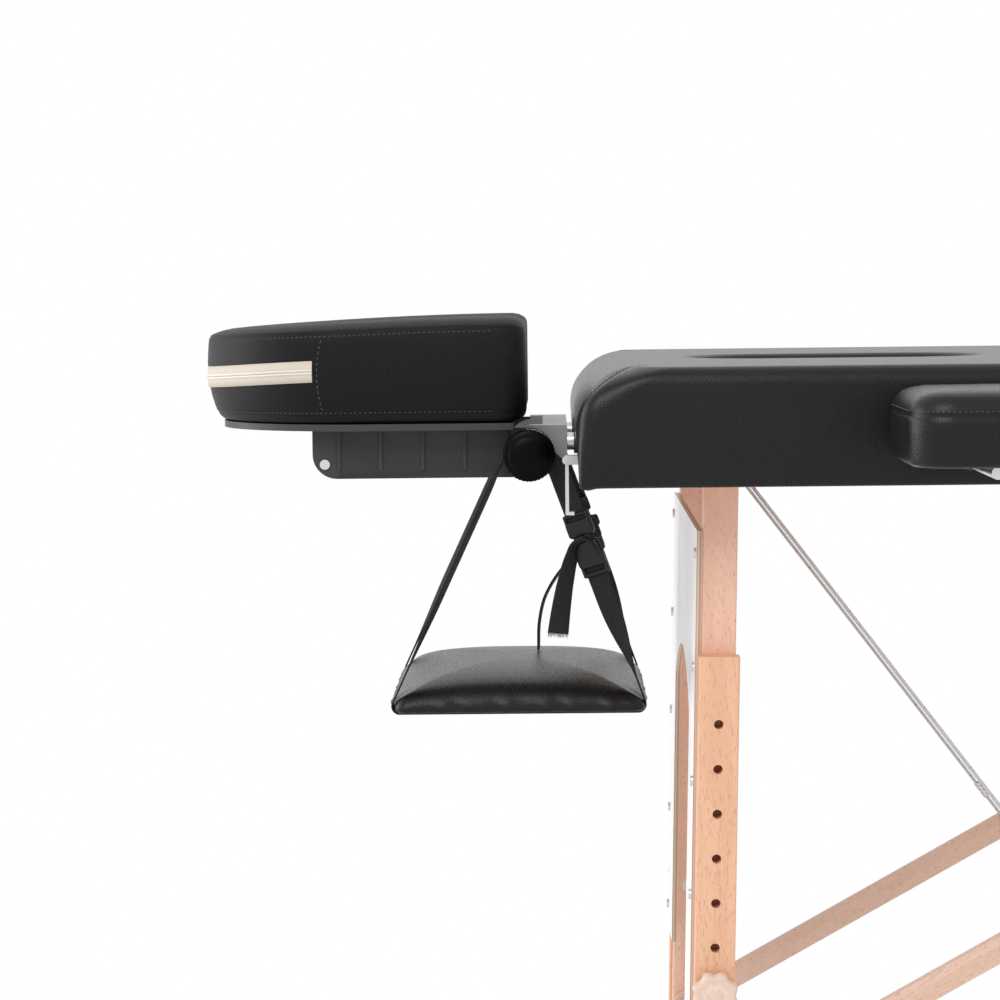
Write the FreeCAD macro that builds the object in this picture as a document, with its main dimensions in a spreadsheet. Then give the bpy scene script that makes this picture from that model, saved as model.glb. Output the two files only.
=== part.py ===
import FreeCAD, Part
import Sketcher
import math
import os

from FreeCAD import Placement, Rotation, Vector

# A portable two-section massage table on folding wooden legs, with a tilting headrest, a hanging arm sling
# and two side armrests. X runs along the table from the head end (-X) to the foot end, Z is up, the floor is
# Z 0 and the origin is under the middle of the overall length. All lengths are millimetres.

SIZES = {
    # table top
    "table_length": 1850, "table_width": 620, "table_height": 730,
    "pad_thick": 48, "deck_thick": 4, "rail_height": 54, "rail_thick": 22, "cover_thick": 4,
    "end_inset": 12, "end_radius": 40, "side_radius": 16, "skirt_drop": 2, "skirt_foot": 3, "skirt_shoulder": 6,
    "section_gap": 1,
    "face_hole_at": 241, "face_hole_length": 256, "face_hole_width": 130, "fit_gap": 0.3, "run_gap": 0.05,
    # leg frames
    "leg_hinge_at": 125, "leg_hinge_drop": 82, "leg_splay": 1.25, "post_wide": 30, "post_thick": 22,
    "post_outer": 228, "post_over": 15, "post_lift": 46, "pivot_bolt_dia": 8, "bolt_head_dia": 14,
    "bolt_head": 3, "panel_thick": 5, "panel_top": 68, "panel_bottom": 506, "arch_half": 137, "arch_top": 194, "arch_rise": 44,
    "screw_dia": 9, "screw_head": 2, "screw_first": 88, "screw_pitch": 99, "screw_count": 5,
    # leg extensions
    "ext_wide": 35, "wood_round": 2, "ext_thick": 20, "ext_top": 174, "hole_first": 232, "hole_pitch": 38.66,
    "hole_count": 10, "knob_hole": 7, "stud_dia": 8, "stud_reach": 5, "ext_travel": 77.3,
    "leg_knob_dia": 41, "leg_knob_thick": 17, "foot_wall": 3, "foot_height": 26, "foot_sole": 9,
    # braces and cables
    "brace_pivot_lift": 67, "slat_wide": 22, "slat_thick": 10, "slat_gap": 4, "slat_tail": 15, "short_tail": 11.5,
    "brace_anchor_back": 35, "brace_anchor_drop": 82, "brace_slack": 5.5, "lug_thick": 3, "lug_wide": 24,
    "cable_dia": 3.5, "cable_eye_at": 131.5, "cable_eye_drop": 86, "cable_pin_dia": 5, "cable_end_back": 28,
    "ferrule_dia": 6, "ferrule_length": 18, "ferrule_back": 34,
    # centre hinge
    "leaf_thick": 2, "leaf_reach": 24, "leaf_wide": 60, "leaf_spacing": 200, "knuckle_dia": 6, "hinge_pin_dia": 3,
    "hinge_drop": 4,
    # headrest
    "headrest_reach": 337, "tilt_at": 40, "tilt_drop": 88, "rod_dia": 16, "rod_y": 95, "rod_drop": 79,
    "rod_inside": 115, "bush_wall": 3, "bush_flange": 2, "base_half": 103, "base_near": 6, "base_deep": 22,
    "base_high": 30, "ear_radius": 20, "ear_thick": 19, "tilt_bolt_dia": 10, "arm_thick": 6, "arm_reach": 194,
    "rib_thick": 3, "rib_out": 2, "rib_count": 5, "spool_radius": 18,
    "spool_long": 28, "clamp_knob_dia": 46.5, "clamp_knob_thick": 24, "cap_dia": 28, "cap_thick": 9,
    "rivet_dia": 9, "rivet_back": 11, "rivet_up": 13,
    "plate_thick": 6, "plate_drop": 60, "plate_front": 14, "plate_half": 140, "plate_rear": 54,
    "cushion_half": 145, "cushion_rear": 52, "cushion_high": 90, "cushion_front_low": 10, "mouth_half": 48,
    "mouth_back": 7, "cushion_corner": 22,
    # arm sling
    "sling_front": 163, "sling_rear": 60, "sling_half": 150, "sling_drop": 318, "sling_thick": 38, "web_wide": 20,
    "web_thick": 1.6, "web_y": 126, "buckle_long": 58, "buckle_wide": 27, "buckle_thick": 11, "buckle_up": 95,
    "tail_long": 92,
    # side armrests
    "arm_pad_at": 255, "arm_pad_length": 600, "arm_pad_wide": 180, "arm_pad_drop": 22, "arm_pad_thick": 60,
    "arm_pad_gap": 6, "arm_pad_radius": 22, "arm_plate_thick": 6, "arm_plate_inset": 70, "arm_plate_edge": 12,
    "arm_rod_dia": 10, "arm_rod_inside": 52, "arm_rod_out": 150,
    # latches
    "latch_y": 188, "latch_wide": 30, "latch_high": 40, "latch_thick": 2, "latch_drop": 66,
    "hook_long": 48, "hook_wide": 9, "hook_thick": 3, "hook_pin_dia": 4, "hook_out": 7, "hook_drop": 90,
}

doc = FreeCAD.newDocument("massage_table")
sheet = doc.addObject("Spreadsheet::Sheet", "Sizes")
for row, (alias, number) in enumerate(SIZES.items(), 1):
    sheet.set(f"A{row}", alias)
    sheet.set(f"B{row}", str(number))
    sheet.setAlias(f"B{row}", alias)
doc.recompute()


class Dim:
    """A length that knows its value and the expression that gives it from the sheet."""

    def __init__(self, text, value):
        self.text = text
        self.value = value

    def __add__(self, other):
        other = dim(other)
        return Dim(f"({self.text} + {other.text})", self.value + other.value)

    def __sub__(self, other):
        other = dim(other)
        return Dim(f"({self.text} - {other.text})", self.value - other.value)

    def __mul__(self, other):
        other = dim(other)
        return Dim(f"({self.text} * {other.text})", self.value * other.value)

    def __truediv__(self, other):
        other = dim(other)
        return Dim(f"({self.text} / {other.text})", self.value / other.value)

    def __neg__(self):
        return Dim(f"(0 - {self.text})", -self.value)

    __radd__ = __add__
    __rmul__ = __mul__

    def __rsub__(self, other):
        return dim(other) - self


def dim(size):
    """A Dim as it is, or a plain number as one."""
    return size if isinstance(size, Dim) else Dim(f"({float(size)!r})", float(size))


class Sheet:
    """The named sizes, each as a Dim that points at its cell."""

    def __getattr__(self, alias):
        return Dim(f"Sizes.{alias}", float(sheet.get(alias)))


s = Sheet()

# Places that follow from the sizes
X_HEAD = (s.headrest_reach - s.table_length) / 2
X_MID = X_HEAD + s.table_length / 2
Z_DECK = s.table_height - s.pad_thick
Z_RAIL = Z_DECK - s.deck_thick
Z_UNDER = Z_RAIL - s.rail_height
HALF = s.table_width / 2
RAIL_OUT = HALF - s.cover_thick
RAIL_IN = RAIL_OUT - s.rail_thick
X_SPLIT = X_MID - s.section_gap / 2
X_END_RAIL = X_HEAD + s.end_inset
X_LEG = X_HEAD + s.leg_hinge_at
Z_LEG = s.table_height - s.leg_hinge_drop
POST_IN = s.post_outer - s.post_thick
SLAT_OUT = POST_IN - s.fit_gap
SLAT_MID = SLAT_OUT - s.slat_thick
UPPER_OUT = SLAT_MID - s.slat_gap
UPPER_IN = UPPER_OUT - s.slat_thick
EXT_IN = s.post_outer + s.fit_gap
EXT_OUT = EXT_IN + s.ext_thick
KNOB_DOWN = s.hole_first + (s.knob_hole - 1) * s.hole_pitch
X_TILT = X_HEAD - s.tilt_at
Z_TILT = s.table_height - s.tilt_drop
X_ANCHOR = X_MID - s.brace_anchor_back
POST_LENGTH = Z_LEG - s.post_lift
BRACE_PIVOT = Z_LEG - s.brace_pivot_lift
Z_ANCHOR = s.table_height - s.brace_anchor_drop
ARM_IN = s.base_half + s.fit_gap
ARM_OUT = ARM_IN + s.arm_thick
SPOOL_OUT = ARM_OUT + s.rib_out + s.fit_gap + s.spool_long
Z_PLATE = s.table_height - s.plate_drop
NODES = []


def bind(obj, prop, size):
    """Tie one property of an object to the sheet."""
    obj.setExpression(prop, dim(size).text)


def put(obj, x, y, z, rotation=Rotation()):
    """Place an object, with each coordinate tied to the sheet."""
    obj.Placement = Placement(Vector(dim(x).value, dim(y).value, dim(z).value), rotation)
    for axis, size in (("x", x), ("y", y), ("z", z)):
        bind(obj, f"Placement.Base.{axis}", size)
    return obj


def box(name, x0, x1, y0, y1, z0, z1):
    """A block between two corners."""
    obj = doc.addObject("Part::Box", name)
    for prop, size in (("Length", x1 - dim(x0)), ("Width", y1 - dim(y0)), ("Height", z1 - dim(z0))):
        bind(obj, prop, size)
    return put(obj, x0, y0, z0)


TURN = {"x": Rotation(Vector(0, 1, 0), 90), "y": Rotation(Vector(1, 0, 0), -90), "z": Rotation()}


def rod(name, axis, dia, start, end, across):
    """A cylinder along one axis from start to end, at the two other coordinates."""
    obj = doc.addObject("Part::Cylinder", name)
    bind(obj, "Radius", dim(dia) / 2)
    bind(obj, "Height", end - dim(start))
    at = list(across)
    at.insert("xyz".index(axis), start)
    return put(obj, *at, TURN[axis])


def fuse(name, *shapes):
    """Shapes joined, or kept as separate solids of one group where they don't touch."""
    obj = doc.addObject("Part::MultiFuse", name)
    obj.Shapes = list(shapes)
    return obj


def cut(name, base, *tools):
    """A shape less its tools."""
    obj = doc.addObject("Part::Cut", name)
    obj.Base = base
    obj.Tool = tools[0] if len(tools) == 1 else fuse(name + "_tools", *tools)
    return obj


def eased(name, base):
    """A block with its upright edges rounded over."""
    doc.recompute()
    obj = doc.addObject("Part::Fillet", name)
    obj.Base = base
    radius = s.wood_round.value
    spans = [edge.BoundBox for edge in base.Shape.Edges]
    obj.Edges = [(n, radius, radius) for n, span in enumerate(spans, 1) if span.ZLength > span.DiagonalLength - 1e-6]
    return obj


def mirror(name, source, axis):
    """The same piece on the other side (Y) or in the other section (X)."""
    obj = doc.addObject("Part::Mirroring", name)
    obj.Source = source
    obj.Normal = Vector(1, 0, 0) if axis == "x" else Vector(0, 1, 0)
    obj.Base = Vector(X_MID.value, 0, 0)
    if axis == "x":
        bind(obj, "Base.x", X_MID)
    return obj


def pair(name, source):
    """A piece and its mirror image across the table, as two solids of one group."""
    return fuse(name, source, mirror(name + "_other", source, "y"))


def free(name, shape):
    """A soft or bent form whose shape is worked out here from the sheet's values."""
    obj = doc.addObject("Part::Feature", name)
    obj.Shape = shape
    return obj


def node(obj, label):
    """Name a finished sub-part."""
    obj.Label = label
    NODES.append(obj)
    return obj


def in_leg(obj):
    """Stand a piece drawn about the leg hinge at its place, with the leg's splay."""
    put(obj, X_LEG, 0, Z_LEG, Rotation(Vector(0, 1, 0), s.leg_splay.value))
    bind(obj, "Placement.Rotation.Angle", s.leg_splay)
    return obj


class Outline:
    """A closed sketch of lines and arcs in its own body, with every corner tied to the sheet."""

    def __init__(self, name, plane):
        self.body = doc.addObject("PartDesign::Body", name)
        self.sketch = self.body.newObject("Sketcher::SketchObject", name + "_sketch")
        origin = [f for f in self.body.Origin.OriginFeatures if f.Role == plane][0]
        self.sketch.AttachmentSupport = [(origin, "")]
        self.sketch.MapMode = "FlatFace"

    def pin(self, edge, end, point):
        """Fix one point of an edge at its two coordinates."""
        for kind, axis, size in (("DistanceX", -2, dim(point[0])), ("DistanceY", -1, dim(point[1]))):
            if abs(size.value) < 1e-6:
                self.sketch.addConstraint(Sketcher.Constraint("PointOnObject", edge, end, axis))
                continue
            at = self.sketch.addConstraint(Sketcher.Constraint(kind, -1, 1, edge, end, size.value))
            self.sketch.setExpression(f"Constraints[{at}]", size.text)

    def loop(self, start, *steps):
        """Edges from start: each step is (point) for a line or (point, radius, way) for an arc, way +1 or -1."""
        first = self.sketch.GeometryCount
        here = start
        for step in steps:
            there = step[0]
            a = Vector(dim(here[0]).value, dim(here[1]).value, 0)
            b = Vector(dim(there[0]).value, dim(there[1]).value, 0)
            if len(step) == 1:
                edge = self.sketch.addGeometry(Part.LineSegment(a, b))
                self.pin(edge, 1, here)
            else:
                radius, way = dim(step[1]), step[2]
                chord = b - a
                rise = math.sqrt(max(radius.value ** 2 - (chord.Length / 2) ** 2, 0))
                side = Vector(-chord.y, chord.x, 0).normalize()
                centre = (a + b) / 2 + side * rise * way
                top = centre - side * radius.value * way
                edge = self.sketch.addGeometry(Part.Arc(a, top, b))
                start_end = 1 if self.sketch.getPoint(edge, 1).isEqual(a, 1e-6) else 2
                self.pin(edge, start_end, here)
                at = self.sketch.addConstraint(Sketcher.Constraint("Radius", edge, radius.value))
                self.sketch.setExpression(f"Constraints[{at}]", radius.text)
            here = there
        self.close(first)
        return self

    def close(self, first):
        """Join each edge's end to the next edge's start."""
        edges = range(first, self.sketch.GeometryCount)
        for edge, following in zip(edges, list(edges)[1:] + [first]):
            ends = [(e, p) for e in (edge,) for p in (1, 2)]
            starts = [(f, p) for f in (following,) for p in (1, 2)]
            for e, p in ends:
                for f, q in starts:
                    if e != f and self.sketch.getPoint(e, p).isEqual(self.sketch.getPoint(f, q), 1e-5):
                        self.sketch.addConstraint(Sketcher.Constraint("Coincident", e, p, f, q))
                        break
                else:
                    continue
                break

    def circle(self, centre, radius):
        """A round hole."""
        at = Vector(dim(centre[0]).value, dim(centre[1]).value, 0)
        edge = self.sketch.addGeometry(Part.Circle(at, Vector(0, 0, 1), dim(radius).value))
        self.pin(edge, 3, centre)
        at = self.sketch.addConstraint(Sketcher.Constraint("Radius", edge, dim(radius).value))
        self.sketch.setExpression(f"Constraints[{at}]", dim(radius).text)
        return self

    def pad(self, thick, start=0, back=False):
        """Give the outline its thickness, from start along the sketch's normal."""
        bind(self.sketch, "AttachmentOffset.Base.z", start)
        feature = self.body.newObject("PartDesign::Pad", self.body.Name + "_pad")
        feature.Profile = self.sketch
        bind(feature, "Length", thick)
        feature.Reversed = back
        return self.body


def rails():
    """Side rails, with bores for the armrest bushes, and the end and centre rails of the head section."""
    side = box("side_rail", X_END_RAIL, X_SPLIT, RAIL_IN, RAIL_OUT, Z_UNDER, Z_RAIL)
    bores = []
    for index, x in enumerate(arm_rod_places()):
        bores.append(rod(f"side_bore{index}", "y", s.arm_rod_dia + 2 * s.bush_wall, RAIL_IN, RAIL_OUT, (x, Z_ARM_ROD)))
    side = cut("side_rail_bored", side, *bores)
    plain = box("plain_side_rail", X_END_RAIL, X_SPLIT, RAIL_IN, RAIL_OUT, Z_UNDER, Z_RAIL)
    end = box("end_rail", X_END_RAIL, X_END_RAIL + s.rail_thick, -RAIL_IN, RAIL_IN, Z_UNDER, Z_RAIL)
    bore = rod("end_bore", "x", s.rod_dia + 2 * s.bush_wall, X_END_RAIL, X_END_RAIL + s.rail_thick, (s.rod_y, Z_ROD))
    bored = cut("end_rail_bored", end, pair("end_bores", bore))
    plain_end = box("plain_end_rail", X_END_RAIL, X_END_RAIL + s.rail_thick, -RAIL_IN, RAIL_IN, Z_UNDER, Z_RAIL)
    middle = box("centre_rail", X_SPLIT - s.rail_thick, X_SPLIT, -RAIL_IN, RAIL_IN, Z_UNDER, Z_RAIL)
    node(pair("head_side_pair", side), "head_side_rails")
    node(fuse("head_cross_pair", bored, middle), "head_cross_rails")
    node(mirror("foot_side_pair", pair("plain_side_pair", plain), "x"), "foot_side_rails")
    node(mirror("foot_cross_pair", fuse("plain_cross_pair", plain_end, middle), "x"), "foot_cross_rails")


Z_ROD = s.table_height - s.rod_drop
Z_ARM_PLATE = s.table_height - s.arm_pad_drop - s.arm_pad_thick
Z_ARM_ROD = Z_ARM_PLATE - s.arm_rod_dia / 2


def arm_rod_places():
    """Where the two rods of a side armrest enter the rail."""
    first = X_HEAD + s.arm_pad_at + s.arm_plate_inset
    return first, first + s.arm_pad_length - 2 * s.arm_plate_inset


def stadium(outline, x0, x1, half):
    """A slot with round ends along the sketch's first axis."""
    a, b = x0 + half, x1 - half
    return outline.loop((a, -half), ((b, -half),), ((x1, 0), half, 1), ((b, half), half, 1), ((a, half),),
                        ((x0, 0), half, 1), ((a, -half), half, 1))


def decks():
    """The plywood decks under the foam, the head one with the face hole."""
    x0, x1 = X_END_RAIL, X_SPLIT
    corners = (x0, -RAIL_OUT), ((x1, -RAIL_OUT),), ((x1, RAIL_OUT),), ((x0, RAIL_OUT),), ((x0, -RAIL_OUT),)
    head = Outline("head_deck_body", "XY_Plane")
    head.loop(*corners)
    stadium(head, HOLE_FROM, HOLE_TO, s.face_hole_width / 2)
    node(head.pad(s.deck_thick, Z_RAIL), "head_deck")
    plain = Outline("plain_deck_body", "XY_Plane").loop(*corners).pad(s.deck_thick, Z_RAIL)
    node(mirror("foot_deck_mirror", plain, "x"), "foot_deck")


HOLE_FROM = X_HEAD + s.face_hole_at - s.face_hole_length / 2
HOLE_TO = HOLE_FROM + s.face_hole_length


def cushion_shape(face_hole):
    """One section's foam in its cover: a bullnose at the outer end and rounded long edges."""
    x0, x1 = X_HEAD.value, X_SPLIT.value
    z0, z1 = Z_DECK.value, s.table_height.value
    half, end, edge = HALF.value, s.end_radius.value, s.side_radius.value
    knee = Vector(x0 + end * (1 - math.sqrt(0.5)), 0, z1 - end * (1 - math.sqrt(0.5)))
    a, b, c = Vector(x0, 0, z0), Vector(x0, 0, z1 - end), Vector(x0 + end, 0, z1)
    d, e = Vector(x1, 0, z1), Vector(x1, 0, z0)
    edges = [Part.LineSegment(a, b), Part.Arc(b, knee, c), Part.LineSegment(c, d), Part.LineSegment(d, e)]
    profile = Part.Wire([g.toShape() for g in edges + [Part.LineSegment(e, a)]])
    profile.translate(Vector(0, -half, 0))
    solid = Part.Face(profile).extrude(Vector(0, 2 * half, 0))
    long_edges = [g for g in solid.Edges if touches_long_top(g, z1, half)]
    solid = solid.makeFillet(edge, long_edges)
    if face_hole:
        tool = slot_prism(HOLE_FROM.value, HOLE_TO.value, s.face_hole_width.value / 2, z0, z1)
        solid = solid.cut(tool)
    return solid


def touches_long_top(edge, top, half):
    """Is this edge one of the long upper ones, or the bullnose's end outline?"""
    box_ = edge.BoundBox
    flat = abs(abs(box_.YMin) - half) < 1e-6 and abs(box_.YMax - box_.YMin) < 1e-6
    return flat and box_.ZMax > top - 1e-6 and box_.XLength > 1


def slot_prism(x0, x1, half, z0, z1):
    """An upright block with round ends."""
    a, b = x0 + half, x1 - half
    middle = Part.makeBox(b - a, 2 * half, z1 - z0, Vector(a, -half, z0))
    ends = [Part.makeCylinder(half, z1 - z0, Vector(x, 0, z0)) for x in (a, b)]
    return middle.fuse(ends).removeSplitter()


def skirt_shape():
    """The cover below the foam: strips along the rails and a wedge that draws in under the outer end."""
    x0, x1, rail = X_HEAD.value, X_SPLIT.value, X_END_RAIL.value
    top, low = Z_DECK.value, Z_UNDER.value - s.skirt_drop.value
    half, inner, foot = HALF.value, RAIL_OUT.value, s.skirt_foot.value
    shoulder = top - s.skirt_shoulder.value
    corners = [(x0, top), (x0, shoulder), (rail - foot, low), (rail, low), (rail, top), (x0, top)]
    wedge = Part.Face(Part.makePolygon([Vector(x, -half, z) for x, z in corners])).extrude(Vector(0, 2 * half, 0))
    strips = [Part.makeBox(x1 - rail, half - inner, top - low, Vector(rail, y, low)) for y in (-half, inner)]
    bores = [Part.makeCylinder(s.rod_dia.value / 2 + s.bush_wall.value, rail - x0 + 1,
                               Vector(x0 - 1, y * s.rod_y.value, Z_ROD.value), Vector(1, 0, 0)) for y in (-1, 1)]
    return wedge.fuse(strips).removeSplitter(), bores


def upholstery():
    """Cushions and cover skirts of both sections."""
    node(free("head_foam", cushion_shape(True)), "head_cushion")
    node(mirror("foot_foam", free("plain_foam", cushion_shape(False)), "x"), "foot_cushion")
    plain, bores = skirt_shape()
    arm_bores = [Part.makeCylinder(s.arm_rod_dia.value / 2 + s.bush_wall.value, 2 * HALF.value,
                                   Vector(x.value, -HALF.value, Z_ARM_ROD.value), Vector(0, 1, 0))
                 for x in arm_rod_places()]
    node(free("head_cover", plain.cut(bores + arm_bores)), "head_skirt")
    node(mirror("foot_cover", free("plain_cover", plain), "x"), "foot_skirt")


def bushes():
    """Nylon bushes: two in the end rail for the headrest rods, two in each side rail for the armrest rods."""
    wall, flange = s.bush_wall, s.bush_flange
    hole = s.rod_dia + 2 * s.run_gap
    across = (s.rod_y, Z_ROD)
    x0, x1 = X_HEAD, X_END_RAIL + s.rail_thick
    solids = [cut("end_bush", rod("end_bush_body", "x", s.rod_dia + 2 * wall, x0, x1, across),
                  rod("end_bush_hole", "x", hole, x0, x1, across))]
    hole = s.arm_rod_dia + 2 * s.run_gap
    for index, x in enumerate(arm_rod_places()):
        across = (x, Z_ARM_ROD)
        name = f"side_bush{index}"
        tube = rod(name + "_body", "y", s.arm_rod_dia + 2 * wall, RAIL_IN - flange, HALF, across)
        solids.append(cut(name, tube, rod(name + "_hole", "y", hole, RAIL_IN - flange, HALF, across)))
    node(pair("rail_bush_pair", fuse("rail_bush_set", *solids)), "rail_bushes")


def centre_hinge():
    """Three butt hinges under the centre rails: leaves with knuckles, and the loose pins."""
    axis_z = Z_UNDER - s.hinge_drop
    thirds = (0, 1, 2, 3)
    head, foot, pins = [], [], []
    for index in (-1, 0, 1):
        y0 = index * s.leaf_spacing - s.leaf_wide / 2
        marks = [y0 + s.leaf_wide * share / 3 for share in thirds]
        name = f"hinge{index + 1}"
        for side, group in ((-1, head), (1, foot)):
            near = X_MID + side * (s.knuckle_dia / 4)
            far = X_MID + side * s.leaf_reach
            xs = (far, near) if side < 0 else (near, far)
            leaf = box(f"{name}_leaf{side}", *xs, y0, y0 + s.leaf_wide, Z_UNDER - s.leaf_thick, Z_UNDER)
            turns = ((0, 1), (2, 3)) if side < 0 else ((1, 2),)
            other = ((1, 2),) if side < 0 else ((0, 1), (2, 3))
            knuckles = [rod(f"{name}_k{side}{a}", "y", s.knuckle_dia, marks[a] + s.fit_gap, marks[b] - s.fit_gap,
                            (X_MID, axis_z)) for a, b in turns]
            room = [rod(f"{name}_r{side}{a}", "y", s.knuckle_dia + 2, marks[a] - s.fit_gap, marks[b] + s.fit_gap,
                        (X_MID, axis_z)) for a, b in other]
            hole = rod(f"{name}_h{side}", "y", s.hinge_pin_dia + 2 * s.run_gap, y0, y0 + s.leaf_wide, (X_MID, axis_z))
            solid = fuse(f"{name}_solid{side}", cut(f"{name}_notched{side}", leaf, *room), *knuckles)
            group.append(cut(f"{name}_bored{side}", solid, hole))
        pins.append(rod(name + "_pin", "y", s.hinge_pin_dia, y0, y0 + s.leaf_wide, (X_MID, axis_z)))
    node(fuse("head_leaf_set", *head), "head_hinge_leaves")
    node(fuse("foot_leaf_set", *foot), "foot_hinge_leaves")
    node(fuse("hinge_pin_set", *pins), "hinge_pins")


def linkage():
    """The brace's places in the section's plane: leg pivot, elbow, anchor and the slopes of the two slats.

    The slats are as long as lets them lie along the folded leg, and the elbow hangs just under the straight line.
    """
    splay = math.radians(s.leg_splay.value)
    reach = BRACE_PIVOT.value
    foot = Vector(X_LEG.value - reach * math.sin(splay), 0, Z_LEG.value - reach * math.cos(splay))
    anchor = Vector(X_ANCHOR.value, 0, Z_ANCHOR.value)
    span = (anchor - foot).Length
    spare = (X_ANCHOR - X_LEG).value - reach
    lower = (span + s.brace_slack.value - spare) / 2
    upper = lower + spare
    along = (lower ** 2 - upper ** 2 + span ** 2) / (2 * span)
    line = (anchor - foot).normalize()
    sag = Vector(line.z, 0, -line.x) * math.sqrt(lower ** 2 - along ** 2)
    elbow = foot + line * along + sag
    slope_low = math.degrees(math.atan2(elbow.z - foot.z, elbow.x - foot.x))
    slope_up = math.degrees(math.atan2(anchor.z - elbow.z, anchor.x - elbow.x))
    return foot, elbow, anchor, lower, upper, slope_low, slope_up


def both_ends(source, label):
    """A sub-part of the head section and its mirror image in the foot section."""
    node(source, "head_" + label)
    node(mirror("foot_" + label + "_mirror", source, "x"), "foot_" + label)


def posts():
    """The two posts of a leg frame, with pivot bores and a blind groove that lets the knob's stud travel."""
    half = s.post_wide / 2
    post = eased("post_eased", box("post", -half, half, POST_IN, s.post_outer, -POST_LENGTH, s.post_over))
    slot = s.stud_dia + 2 * s.fit_gap
    floor = s.post_outer - s.stud_reach - s.fit_gap
    low = -(KNOB_DOWN + s.ext_travel)
    groove = fuse("stud_groove", box("groove_run", -slot / 2, slot / 2, floor, s.post_outer, low, -KNOB_DOWN),
                  rod("groove_top", "y", slot, floor, s.post_outer, (0, -KNOB_DOWN)),
                  rod("groove_low", "y", slot, floor, s.post_outer, (0, low)))
    blind = s.post_outer - 2 * s.stud_reach
    bores = [rod("hinge_bore", "y", s.pivot_bolt_dia, POST_IN, s.post_outer, (0, 0)),
             rod("brace_bore", "y", s.pivot_bolt_dia, POST_IN, blind, (0, -BRACE_PIVOT))]
    sunk = rod("sunk_head_room", "y", s.bolt_head_dia, POST_IN, POST_IN + s.bolt_head, (0, -KNOB_DOWN))
    shaped = cut("post_shaped", post, groove, *bores, sunk)
    both_ends(in_leg(pair("post_pair", shaped)), "posts")


def panel():
    """The plywood panel that ties the posts, with its open arch."""
    out, bottom, arch = s.post_outer, -s.panel_bottom, s.arch_half
    shoulder = -(s.arch_top + s.arch_rise)
    radius = (arch * arch + s.arch_rise * s.arch_rise) / (2 * s.arch_rise)
    outline = Outline("panel_body", "YZ_Plane")
    outline.loop((-out, bottom), ((-arch, bottom),), ((-arch, shoulder),), ((arch, shoulder), radius, -1),
                 ((arch, bottom),), ((out, bottom),), ((out, -s.panel_top),), ((-out, -s.panel_top),),
                 ((-out, bottom),))
    both_ends(in_leg(outline.pad(s.panel_thick, -(s.post_wide / 2 + s.panel_thick))), "panel")


def leg_bolts():
    """Hinge bolts, brace pivot bolts, sunk bolt heads and the panel's screws of one leg frame."""
    dia, head = s.pivot_bolt_dia, s.bolt_head_dia
    lug = s.post_outer + s.fit_gap + s.lug_thick + s.fit_gap
    hinge = fuse("hinge_bolt", rod("hinge_shank", "y", dia, POST_IN, lug, (0, 0)),
                 rod("hinge_head", "y", head, lug, lug + s.bolt_head, (0, 0)))
    under = SLAT_MID - s.fit_gap
    blind = s.post_outer - 2 * s.stud_reach
    pivot = fuse("brace_bolt", rod("brace_shank", "y", dia, under, blind, (0, -BRACE_PIVOT)),
                 rod("brace_head", "y", head, under - s.bolt_head, under, (0, -BRACE_PIVOT)))
    sunk = rod("sunk_head", "y", head, POST_IN, POST_IN + s.bolt_head, (0, -KNOB_DOWN))
    face = -(s.post_wide / 2 + s.panel_thick)
    middle = s.post_outer - s.post_thick / 2
    screws = [rod(f"panel_screw{n}", "x", s.screw_dia, face - s.screw_head, face,
                  (middle, -(s.screw_first + n * s.screw_pitch))) for n in range(int(s.screw_count.value))]
    both_ends(in_leg(pair("leg_bolt_pair", fuse("leg_bolt_set", hinge, pivot, sunk, *screws))), "leg_bolts")


def four(source, label):
    """A sub-part at each of the four legs, as a node of its own."""
    node(source, "far_head_" + label)
    node(mirror("near_head_" + label + "_mirror", source, "y"), "near_head_" + label)
    foot = mirror("far_foot_" + label + "_mirror", source, "x")
    node(foot, "far_foot_" + label)
    node(mirror("near_foot_" + label + "_mirror", foot, "y"), "near_foot_" + label)


def extensions():
    """Leg extensions with their row of holes, and the rubber feet, cut level with the floor."""
    half = s.ext_wide / 2
    sole = -(Z_LEG - s.foot_sole)
    bar = eased("ext_eased", box("ext_bar", -half, half, EXT_IN, EXT_OUT, sole, -s.ext_top))
    hole = s.stud_dia + 2 * s.run_gap
    holes = [rod(f"ext_hole{n}", "y", hole, EXT_IN, EXT_OUT, (0, -(s.hole_first + n * s.hole_pitch)))
             for n in range(int(s.hole_count.value))]
    four(in_leg(cut("ext_drilled", bar, *holes)), "extension")
    wall = s.foot_wall
    top = sole + s.foot_height - s.foot_sole
    cup = box("foot_cup", -half - wall, half + wall, EXT_IN - wall, EXT_OUT + wall, -(Z_LEG + wall), top)
    foot = in_leg(cut("foot_hollow", cup, box("foot_room", -half, half, EXT_IN, EXT_OUT, sole, top)))
    reach = s.ext_wide + s.ext_thick
    floor = box("floor_cut", X_LEG - reach, X_LEG + reach, EXT_IN - reach, EXT_OUT + reach, -2 * wall, dim(0))
    four(cut("foot_level", foot, floor), "foot")


def star_knob():
    """A scalloped hand knob with its stud, which ends in the post's groove."""
    start = EXT_OUT + s.fit_gap
    end = start + s.leg_knob_thick
    lobe = s.leg_knob_dia / 4
    ring = s.leg_knob_dia / 2 - lobe / 2
    lobes = []
    for n in range(8):
        angle = math.radians(45 * n)
        at = (ring * round(math.cos(angle), 6), ring * round(math.sin(angle), 6) - KNOB_DOWN)
        lobes.append(rod(f"knob_lobe{n}", "y", lobe, start, end, at))
    core = rod("knob_core", "y", 2 * ring, start, end, (0, -KNOB_DOWN))
    stud = rod("knob_stud", "y", s.stud_dia, s.post_outer - s.stud_reach, start, (0, -KNOB_DOWN))
    four(in_leg(fuse("knob_star", core, stud, *lobes)), "leg_knob")


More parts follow.
